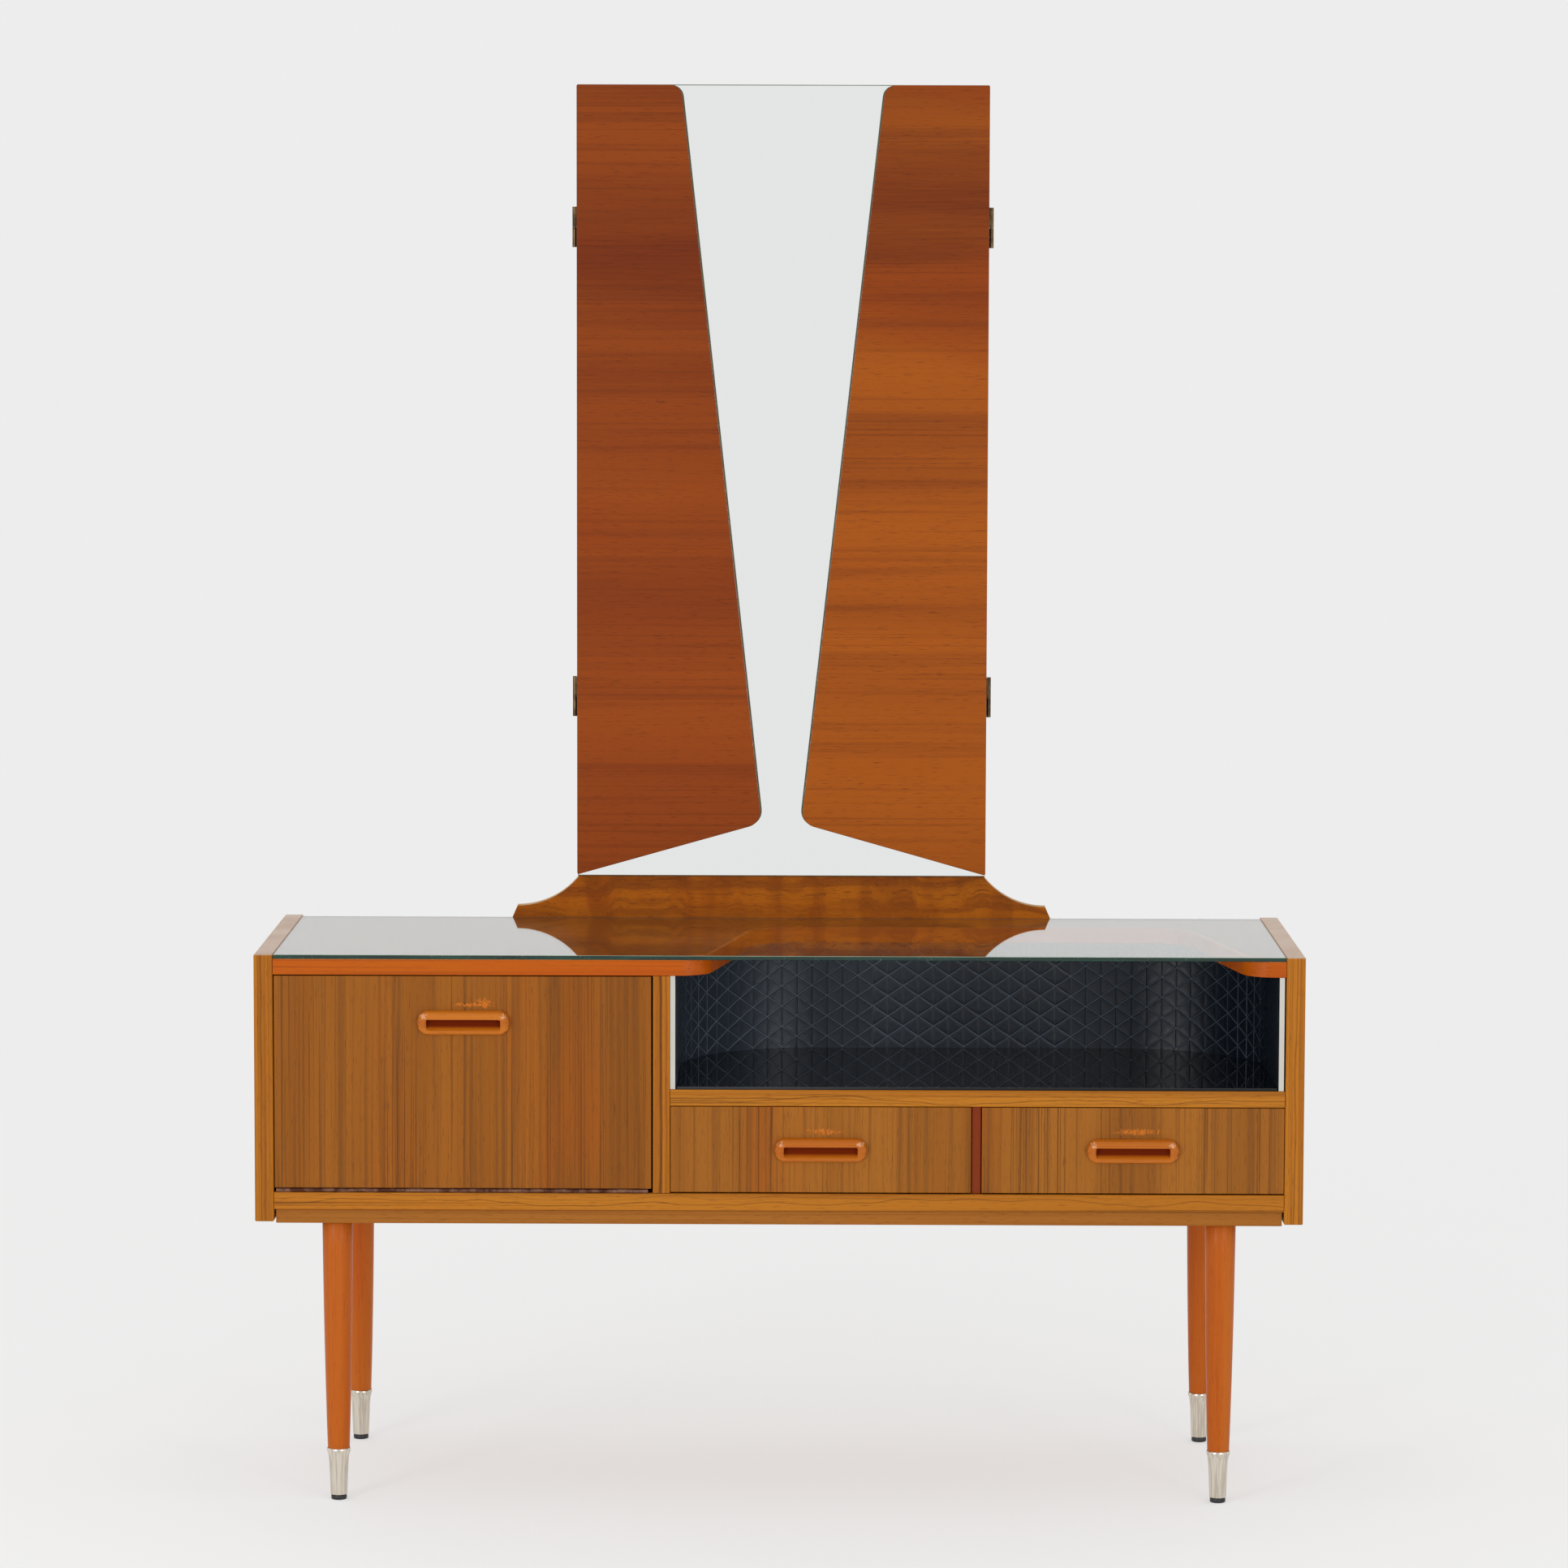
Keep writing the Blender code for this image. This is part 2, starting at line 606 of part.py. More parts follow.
def make_stay(flap_pivot, stay_pivot):
    closed = 2 * STAY_RADIUS * math.sin((STAY_PIVOT_ANGLE - STAY_STUD_ANGLE) / 2)
    opened = STAY_PIVOT_ANGLE + math.pi / 2 - STAY_STUD_ANGLE
    far = 2 * STAY_RADIUS * math.sin(opened / 2)
    pivot_y, pivot_z = around_flap_axis(STAY_PIVOT_ANGLE)
    stud_y, stud_z = around_flap_axis(STAY_STUD_ANGLE)

    half = 0.0060
    slot_half = STAY_STUD_RADIUS + STAY_PLAY
    tail = far + 0.0090
    bar_outline = round_corners(
        [
            (-half, -half, half * 0.98),
            (tail, -half, half * 0.98),
            (tail, half, half * 0.98),
            (-half, half, half * 0.98),
        ],
        steps=5,
    )
    slope = (STAY_PIVOT_ANGLE + STAY_STUD_ANGLE) / 2 - math.pi / 2
    bar = add_object(
        "flap_stay_bar",
        prism_mesh(bar_outline, *STAY_BAR_X, "YZ"),
        "brass",
        (0, pivot_y, pivot_z),
        stay_pivot,
        (slope, 0, 0),
    )
    # The slot leaves half a millimetre past the stud at either end of the travel.
    reach = slot_half + 0.0005
    slot_outline = round_corners(
        [
            (closed - reach, -slot_half, slot_half * 0.98),
            (far + reach, -slot_half, slot_half * 0.98),
            (far + reach, slot_half, slot_half * 0.98),
            (closed - reach, slot_half, slot_half * 0.98),
        ],
        steps=5,
    )
    through = (STAY_BAR_X[0] - 0.002, STAY_BAR_X[1] + 0.002)
    slot = add_shape(bar, prism_mesh(slot_outline, *through, "YZ"), "DIFFERENCE", bar.location)
    hole = rod_mesh(STAY_RIVET_RADIUS + STAY_PLAY, *through)
    hole = add_shape(bar, hole, "DIFFERENCE", bar.location)
    for cutter in (slot, hole):
        cutter.parent = stay_pivot
        cutter.rotation_euler = (slope, 0, 0)

    # The stud: a flange on the partition, a shank through the slot and a head.
    wall = PARTITION_X[0] - GAP
    stud_profile = [
        (0, wall),
        (0.0080, wall),
        (0.0080, wall - 0.0012),
        (STAY_STUD_RADIUS, wall - 0.0012),
        (STAY_STUD_RADIUS, STAY_BAR_X[0] - 0.0005),
        (0.0042, STAY_BAR_X[0] - 0.0005),
        (0.0036, STAY_BAR_X[0] - 0.0018),
        (0, STAY_BAR_X[0] - 0.0018),
    ]
    stud = add_object(
        "flap_stay_stud", turned_mesh(stud_profile, 16, "X"), "brass", (0, stud_y, stud_z)
    )
    smooth(stud)

    # The bracket: a foot on the flap's inner face, a lug, and the rivet that carries the bar.
    face = FRONT + FRONT_THICK + GAP - pivot_y
    foot_x = (STAY_LUG_X[1] - 0.0210, STAY_LUG_X[1])
    angle_outline = [
        (foot_x[0], face),
        (foot_x[1], face),
        (foot_x[1], 0.0060),
        (STAY_LUG_X[0], 0.0060),
        (STAY_LUG_X[0], face + 0.0015),
        (foot_x[0], face + 0.0015),
    ]
    bracket = add_object(
        "flap_stay_bracket",
        prism_mesh(angle_outline, -0.0090, 0.0090),
        "brass",
        (0, pivot_y, pivot_z),
        flap_pivot,
    )
    rivet_profile = [
        (0, STAY_LUG_X[1] - 0.0005),
        (STAY_RIVET_RADIUS, STAY_LUG_X[1] - 0.0005),
        (STAY_RIVET_RADIUS, STAY_BAR_X[0] - 0.0003),
        (0.0038, STAY_BAR_X[0] - 0.0003),
        (0.0030, STAY_BAR_X[0] - 0.0014),
        (0, STAY_BAR_X[0] - 0.0014),
    ]
    add_shape(bracket, turned_mesh(rivet_profile, 16, "X"), "UNION", (0, pivot_y, pivot_z))


def make_drawer(side, pivot):
    x = DRAWER_X[side]
    name = f"drawer_{side}"
    add_board(f"{name}_front", x, (FRONT, FRONT + FRONT_THICK), DRAWER_Z, "teak_veneer", pivot)
    outer = (x[0] + CARCASE_INSET, x[1] - CARCASE_INSET)
    inner = (outer[0] + CARCASE_THICK, outer[1] - CARCASE_THICK)
    start = FRONT + FRONT_THICK + GAP
    back = FRONT + CARCASE_BACK
    wrap = round_corners(
        [
            (outer[0], start, 0),
            (outer[0], back, 0.004),
            (outer[1], back, 0.004),
            (outer[1], start, 0),
            (inner[1], start, 0),
            (inner[1], back - CARCASE_THICK, 0),
            (inner[0], back - CARCASE_THICK, 0),
            (inner[0], start, 0),
        ],
        steps=3,
    )
    add_object(f"{name}_carcase", prism_mesh(wrap, *CARCASE_Z), "wood_pale", (0, 0, 0), pivot)
    add_board(
        f"{name}_bottom",
        (inner[0] + GAP, inner[1] - GAP),
        (start + GAP, back - CARCASE_THICK - GAP),
        DRAWER_BOTTOM_Z,
        "hardboard",
        pivot,
        bevel=0,
    )
    make_handle(name, pivot)


def make_mirror():
    board_z = TOP_PANEL_Z[1] + GAP
    tip_x, tip_z = FOOT_TIP
    # The sweep of the foot is an arc, level at the tip, that ends at the board's edge.
    rise = math.asin((tip_x - MIRROR_HALF) / FOOT_ARC_RADIUS)
    sweep = []
    for step in range(11):
        angle = rise * step / 10
        x = tip_x - FOOT_ARC_RADIUS * math.sin(angle)
        z = tip_z + FOOT_ARC_RADIUS * (1 - math.cos(angle))
        sweep.append((x, z))
    half = [(FOOT_HALF, board_z)] + sweep + [(MIRROR_HALF, MIRROR_TOP_Z)]
    outline = half + [(-x, z) for x, z in reversed(half)]
    add_object("mirror_board", prism_mesh(outline, *MIRROR_BOARD_Y, "XZ"), "wood_red")
    add_board(
        "mirror_glass_centre",
        (-MIRROR_HALF, MIRROR_HALF),
        CENTRE_GLASS_Y,
        (MIRROR_GLASS_BOTTOM_Z, MIRROR_TOP_Z),
        "mirror",
    )
    for side, sign in (("left", -1), ("right", 1)):
        x = sorted((sign * BATTEN_X - BATTEN_WIDTH / 2, sign * BATTEN_X + BATTEN_WIDTH / 2))
        y = (BACK + GAP, BACK + GAP + BATTEN_THICK)
        add_board(f"mirror_batten_{side}", x, y, BATTEN_Z, "wood_pale", bevel=PANEL_BEVEL)


def make_wing(side, sign, pivot):
    def outline(margin):
        corners = [
            (MIRROR_HALF, WING_BOTTOM_Z, 0.002),
            (MIRROR_HALF, WING_TOP_Z, 0.002),
            (WING_INNER_TOP[0] + margin, WING_INNER_TOP[1], 0.015),
            (WING_INNER_BOTTOM[0] + margin, WING_INNER_BOTTOM[1], 0.019),
        ]
        return round_corners([(sign * x, z, radius) for x, z, radius in corners], steps=6)

    # The glass shows a little past the board along its free side.
    board = prism_mesh(outline(WING_GLASS_MARGIN), *WING_BOARD_Y, "XZ")
    glass = prism_mesh(outline(0), *WING_GLASS_Y, "XZ")
    add_object(f"wing_{side}_board", board, "wood_red", (0, 0, 0), pivot)
    add_object(f"wing_{side}_glass", glass, "mirror", (0, 0, 0), pivot)


def make_mirror_hinges(side, sign, pivot):
    # Lift-off hinges. The lower half and its pin are on the board, the upper half on the wing.
    thick, reach = MIRROR_LEAF
    inner_face = MIRROR_HALF + GAP - MIRROR_HINGE_X
    x = sorted((sign * inner_face, sign * (inner_face + thick)))
    half_length = MIRROR_HINGE_LENGTH / 2
    for level, base in zip(("lower", "upper"), MIRROR_HINGE_Z):
        spot = (sign * MIRROR_HINGE_X, MIRROR_AXIS_Y, base)
        fixed = add_object(
            f"mirror_hinge_{side}_{level}_fixed",
            rod_mesh(MIRROR_HINGE_RADIUS, 0, half_length - 0.0002, 16, "Z"),
            "brass",
            spot,
        )
        plate = [(x[0], 0), (x[1], 0), (x[1], reach), (x[0], reach)]
        leaf = prism_mesh(plate, 0, half_length - 0.0002)
        add_shape(fixed, leaf, "UNION", spot)
        pin = rod_mesh(MIRROR_PIN_RADIUS, 0.010, half_length + 0.018, 10, "Z")
        add_shape(fixed, pin, "UNION", spot)
        moving = add_object(
            f"mirror_hinge_{side}_{level}_moving",
            rod_mesh(MIRROR_HINGE_RADIUS, half_length, 2 * half_length, 16, "Z"),
            "brass",
            spot,
            pivot,
        )
        plate = [(x[0], 0), (x[1], 0), (x[1], -reach), (x[0], -reach)]
        leaf = prism_mesh(plate, half_length, 2 * half_length)
        add_shape(moving, leaf, "UNION", spot)
        bore_radius = MIRROR_PIN_RADIUS + GAP
        bore = rod_mesh(bore_radius, half_length - 0.005, half_length + 0.020, 10, "Z")
        add_shape(moving, bore, "DIFFERENCE", spot)


def main():
    clear_scene()
    make_materials()
    make_cabinet()
    make_top()
    make_niche()
    make_legs()
    flap_pivot = make_pivot("flap_pivot", (0, FRONT, FLAP_AXIS_Z))
    stay_spot = around_flap_axis(STAY_PIVOT_ANGLE)
    stay_pivot = make_pivot("stay_pivot", (0, *stay_spot))
    make_flap(flap_pivot)
    make_stay(flap_pivot, stay_pivot)
    for side in ("left", "right"):
        slide = make_pivot(f"drawer_{side}_slide", (sum(DRAWER_X[side]) / 2, FRONT, DRAWER_Z[0]))
        make_drawer(side, slide)
    make_mirror()
    for side, sign in (("left", -1), ("right", 1)):
        hinge = make_pivot(f"wing_{side}_pivot", (sign * MIRROR_HINGE_X, MIRROR_AXIS_Y, WING_BOTTOM_Z))
        make_wing(side, sign, hinge)
        make_mirror_hinges(side, sign, hinge)


main()
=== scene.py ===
# Looks for a 1960s vanity table: teak cabinet, glass top, lined niche and folding mirror.
# Metres, +Z up, front towards -Y, as in the frame.

import math

import bmesh
import bpy
from mathutils import Matrix, Vector


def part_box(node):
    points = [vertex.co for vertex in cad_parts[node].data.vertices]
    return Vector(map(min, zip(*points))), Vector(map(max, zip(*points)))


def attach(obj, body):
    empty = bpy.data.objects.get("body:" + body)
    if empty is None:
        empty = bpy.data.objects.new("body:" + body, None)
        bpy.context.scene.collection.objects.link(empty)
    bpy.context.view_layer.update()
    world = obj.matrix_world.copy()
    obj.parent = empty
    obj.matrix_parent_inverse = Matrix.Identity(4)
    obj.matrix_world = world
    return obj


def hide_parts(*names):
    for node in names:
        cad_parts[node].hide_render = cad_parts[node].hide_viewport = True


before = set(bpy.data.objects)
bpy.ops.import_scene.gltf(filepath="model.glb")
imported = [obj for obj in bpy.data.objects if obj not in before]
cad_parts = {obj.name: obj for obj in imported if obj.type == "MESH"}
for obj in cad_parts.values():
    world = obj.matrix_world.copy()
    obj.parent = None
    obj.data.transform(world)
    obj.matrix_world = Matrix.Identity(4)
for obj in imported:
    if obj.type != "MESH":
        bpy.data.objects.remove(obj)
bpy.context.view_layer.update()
scene = bpy.context.scene
print("frame loaded:", len(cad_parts), "nodes")


def paint(red, green, blue):
    # A colour as a painter reads it, 0 to 255, turned to linear light.
    channels = []
    for value in (red, green, blue):
        share = value / 255
        channels.append(share / 12.92 if share <= 0.04045 else ((share + 0.055) / 1.055) ** 2.4)
    return (*channels, 1.0)


class Wire:
    # One output socket. Arithmetic on it adds Math nodes.
    def __init__(self, finish, socket):
        self.finish, self.socket = finish, socket

    def combine(self, operation, first, second=None):
        sockets = {0: first}
        if second is not None:
            sockets[1] = second
        return self.finish.node("Math", {"operation": operation}, sockets)

    def __add__(self, other):
        return self.combine("ADD", self, other)

    def __radd__(self, other):
        return self.combine("ADD", other, self)

    def __sub__(self, other):
        return self.combine("SUBTRACT", self, other)

    def __rsub__(self, other):
        return self.combine("SUBTRACT", other, self)

    def __mul__(self, other):
        return self.combine("MULTIPLY", self, other)

    def __rmul__(self, other):
        return self.combine("MULTIPLY", other, self)

    def __truediv__(self, other):
        return self.combine("DIVIDE", self, other)

    def __rtruediv__(self, other):
        return self.combine("DIVIDE", other, self)

    def __abs__(self):
        return self.combine("ABSOLUTE", self)

    def sine(self):
        return self.combine("SINE", self)


class Finish:
    # One material and the few ways its nodes are made.
    def __init__(self, name):
        self.material = bpy.data.materials.new(name)
        self.material.use_nodes = True
        self.tree = self.material.node_tree
        self.tree.nodes.clear()
        self.end = self.tree.nodes.new("ShaderNodeOutputMaterial")

    def node(self, kind, settings=None, sockets=None, out=0):
        made = self.tree.nodes.new("ShaderNode" + kind)
        for name, value in (settings or {}).items():
            setattr(made, name, value)
        for name, value in (sockets or {}).items():
            if isinstance(value, Wire):
                self.tree.links.new(value.socket, made.inputs[name])
            else:
                made.inputs[name].default_value = value
        return Wire(self, made.outputs[out])

    def place(self):
        # Object coordinates, as three separate wires.
        spot = self.node("TexCoord", out="Object")
        return [self.node("SeparateXYZ", None, {0: spot}, out=axis) for axis in range(3)]

    def point(self, x, y, z):
        return self.node("CombineXYZ", None, {0: x, 1: y, 2: z})

    def noise(self, where, detail=2.0, roughness=0.5, distortion=0.0):
        sockets = {
            "Vector": where,
            "Scale": 1.0,
            "Detail": detail,
            "Roughness": roughness,
            "Distortion": distortion,
        }
        return self.node("TexNoise", None, sockets, out="Fac")

    def even(self, place, scale, detail=2.0, roughness=0.5):
        # Noise with one grain size in every direction.
        return self.noise(self.point(*(axis * scale for axis in place)), detail, roughness)

    def rise(self, value, low, high, start=0.0, stop=1.0):
        # A smooth step from start to stop while the value goes from low to high.
        sockets = {"Value": value, "From Min": low, "From Max": high, "To Min": start, "To Max": stop}
        return self.node("MapRange", {"interpolation_type": "SMOOTHSTEP"}, sockets)

    def mix(self, share, first, second):
        return self.node("Mix", {"data_type": "RGBA"}, {0: share, 6: first, 7: second}, out=2)

    def bump(self, height, distance, strength):
        sockets = {"Height": height, "Distance": distance, "Strength": strength}
        return self.node("Bump", None, sockets)

    def shade(self, sockets):
        shader = self.node("BsdfPrincipled", None, sockets)
        self.tree.links.new(shader.socket, self.end.inputs["Surface"])
        return self.material


woodBase = {
    "axis": "z",  # the way the grain runs
    "shift": 0.0,  # moves the pattern, so that two boards differ
    "body": (160, 95, 45),
    "light": (185, 118, 62),
    "dark": (112, 62, 28),
    "line": (78, 42, 22),
    "warm": (178, 92, 34),
    "tone": 10.0,  # broad bands across the grain, per metre
    "streak": 55.0,
    "fine": 240.0,
    "bend": 0.010,  # how far the grain wanders
    "bendScale": (0.9, 3.0),  # along and across, per metre
    "streakShare": 0.6,
    "lineShare": 0.75,
    "poreShare": 0.45,
    "warmShare": 0.45,
    "veins": (),  # (axis across, place, half width, share)
    "veinWander": 0.004,
    "rough": 0.42,
    "specular": 0.12,
    "topSheen": None,  # painted sheen: the lighter colour of faces that look up
    "fade": None,  # (low, high, share) in height: painted light, lighter towards the bottom
    # the lighter colour that the painted light turns to at the bottom
    "bottomLight": (160, 80, 20),
    "figure": 0.0,  # share of the bars that cross the grain
    "wearAndHighlights": (),  # (x, z, half width, half height) of pale patches: wear on the fronts, painted highlights on the handles
    "wearHighlightColour": (206, 112, 32),
    "wearHighlightShare": 0.7,
    "wearHighlightScale": (420, 60, 260),
    "fibreScale": (1300.0, 16.0),  # this and the next two: across and along
    "poreScale": (1000.0, 55.0),
    "figureScale": (7.0, 26.0),
    "veinScale": (31.0, 7.0),
    "toneRange": (0.32, 0.68),  # the noise values between which each pattern comes up
    "streakRange": (0.48, 0.68),
    "gatherRange": (0.38, 0.62),
    "lineRange": (0.54, 0.66),
    "poreRange": (0.60, 0.70),
    "warmRange": (0.48, 0.72),
    "wearHighlightRange": (0.36, 0.52),
    "relief": 0.00012,
}


def wood(name, changes):
    look = {**woodBase, **changes}
    finish = Finish(name)
    axes = finish.place()
    order = {"x": (0, 2, 1), "y": (1, 2, 0), "z": (2, 0, 1)}[look["axis"]]
    along, across, depth = (axes[index] for index in order)
    along = along + look["shift"]
    alongBend, acrossBend = look["bendScale"]
    slow = finish.point(along * alongBend, across * acrossBend, depth * acrossBend)
    drift = finish.noise(slow, 1.0)
    bent = across + (drift - 0.5) * look["bend"] + look["shift"] * 0.37
    deep = depth + (drift - 0.5) * look["bend"]

    def grain(perMetre, stretch, detail=2.0, roughness=0.5):
        where = finish.point(along * stretch, bent * perMetre, deep * perMetre)
        return finish.noise(where, detail, roughness)

    tone = finish.rise(grain(look["tone"], 0.5), *look["toneRange"])
    streak = finish.rise(grain(look["streak"], 0.9, 4.0, 0.6), *look["streakRange"])
    # Fine lines come in groups.
    gather = finish.rise(grain(look["tone"] * 1.7, 0.7), *look["gatherRange"])
    line = finish.rise(grain(look["fine"], 1.4, 2.0, 0.55), *look["lineRange"]) * (0.3 + gather * 0.7)
    fibre = grain(*look["fibreScale"], 1.0)
    pore = finish.rise(grain(*look["poreScale"]), *look["poreRange"])
    warm = finish.rise(grain(look["tone"] * 0.8, 1.9, 3.0), *look["warmRange"])

    colour = finish.mix(tone, paint(*look["body"]), paint(*look["light"]))
    colour = finish.mix(warm * look["warmShare"], colour, paint(*look["warm"]))
    # Painted light: the colour grows lighter towards the bottom.
    if look["fade"]:
        low, high, share = look["fade"]
        colour = finish.mix(finish.rise(axes[2], low, high, share, 0.0), colour, paint(*look["bottomLight"]))
    if look["figure"]:
        wide, far = look["figureScale"]
        bars = finish.noise(finish.point(along * far, across * wide, depth * wide), 2.0, 0.55, 0.4)
        pale = finish.rise(bars, 0.42, 0.62) * look["figure"]
        colour = finish.mix(pale, colour, paint(*look["light"]))
        dim = finish.rise(bars, 0.50, 0.36) * look["figure"] * 0.6
        colour = finish.mix(dim, colour, paint(*look["dark"]))
    colour = finish.mix(streak * look["streakShare"], colour, paint(*look["dark"]))
    colour = finish.mix(line * look["lineShare"], colour, paint(*look["line"]))
    for which, place, halfWidth, share in look["veins"]:
        start = axes["xyz".index(which)]
        wide, far = look["veinScale"]
        wave = finish.noise(finish.point(along * far, place * wide, 0.0), 2.0)
        gap = abs(start + (wave - 0.5) * look["veinWander"] * 2 - place)
        vein = finish.rise(gap, halfWidth, halfWidth * 0.25) * (0.55 + 0.45 * streak)
        colour = finish.mix(vein * share, colour, paint(*look["line"]))
    colour = finish.mix(pore * look["poreShare"], colour, paint(*look["line"]))
    colour = finish.mix(finish.rise(fibre, 0.35, 0.65) * 0.16, colour, paint(*look["light"]))
    gloss = look["rough"] + pore * 0.14 + (streak - 0.5) * 0.05
    # Pale patches: wear on the fronts, painted highlights on the handles.
    for x, z, halfWidth, halfHeight in look["wearAndHighlights"]:
        far = abs(axes[0] - x) / halfWidth
        high = abs(axes[2] - z) / halfHeight
        spots = finish.point(*(axis * scale for axis, scale in zip(axes, look["wearHighlightScale"])))
        speck = finish.noise(spots, 3.0, 0.65)
        wearAndSheen = finish.rise(speck - far * far * 0.16 - high * high * 0.16, *look["wearHighlightRange"])
        colour = finish.mix(wearAndSheen * look["wearHighlightShare"], colour, paint(*look["wearHighlightColour"]))
        gloss = gloss + wearAndSheen * 0.12
    # Painted sheen: faces that look up turn lighter, as where light falls on them.
    if look["topSheen"]:
        normal = finish.node("NewGeometry", out="Normal")
        upward = finish.node("SeparateXYZ", None, {0: normal}, out=2)
        paintedLight = finish.rise(upward, 0.5, 0.9) * (0.75 + 0.25 * tone)
        colour = finish.mix(paintedLight, colour, paint(*look["topSheen"]))
    height = fibre * 0.35 - pore - line * 0.3
    sockets = {
        "Base Color": colour,
        "Roughness": gloss,
        "Specular IOR Level": look["specular"],
        "Normal": finish.bump(height, look["relief"], 0.5),
    }
    return finish.shade(sockets)


teakEdge = {
    "body": (164, 97, 20),
    "light": (178, 112, 30),
    "dark": (136, 74, 14),
    "line": (78, 40, 12),
    "warm": (170, 92, 14),
    "fine": 420.0,
    "streak": 130.0,
    "bend": 0.006,
}
frontVeneer = {
    "body": (128, 72, 17),
    "light": (148, 87, 23),
    "dark": (102, 58, 20),
    "line": (74, 42, 16),
    "warm": (158, 78, 12),
    "tone": 14.0,
    "streak": 95.0,
    "fine": 400.0,
    "warmShare": 0.6,
    "lineShare": 0.7,
    "bend": 0.010,
}
wingVeneer = {
    "axis": "x",
    "body": (92, 31, 9),
    "light": (140, 64, 13),
    "bottomLight": (154, 70, 13),
    "dark": (84, 29, 9),
    "line": (68, 24, 9),
    "warm": (126, 45, 5),
    "tone": 7.0,
    "streak": 60.0,
    "fine": 330.0,
    "bend": 0.004,
    "rough": 0.38,
    "streakShare": 0.28,
    "lineShare": 0.26,
    "warmShare": 0.6,
    # Painted light: the wings grow lighter towards the bottom.
    "fade": (0.60, 1.70, 0.75),
}
orangeWood = {
    "body": (166, 72, 2),
    "light": (178, 86, 6),
    "dark": (146, 52, 2),
    "line": (112, 38, 4),
    "warm": (172, 64, 2),
    "tone": 16.0,
    "streak": 60.0,
    "fine": 500.0,
    "lineShare": 0.35,
    "streakShare": 0.4,
    "poreShare": 0.3,
    "bend": 0.004,
    "rough": 0.34,
    "specular": 0.14,
}
# Painted shade: the dark wood inside the finger slots stands for the shade in them.
slotShadeWood = {
    **orangeWood,
    "axis": "x",
    "body": (98, 26, 1),
    "light": (110, 34, 2),
    "warm": (94, 22, 1),
    "dark": (80, 20, 1),
    "specular": 0.03,
    "bottomLight": (178, 96, 15),
    "streakShare": 0.25,
}
# A painted sheen for the side panels' tops.
sideTopSheen = (206, 184, 166)
# Painted highlights on pale worn spots at both ends of the three handles.
handleHighlights = tuple(
    (x + away * 0.0470, z + 0.0082, 0.0046, 0.0036)
    for x, z in ((-0.3755, 0.5833), (0.0498, 0.4316), (0.4217, 0.4316))
    for away in (-1, 1)
)

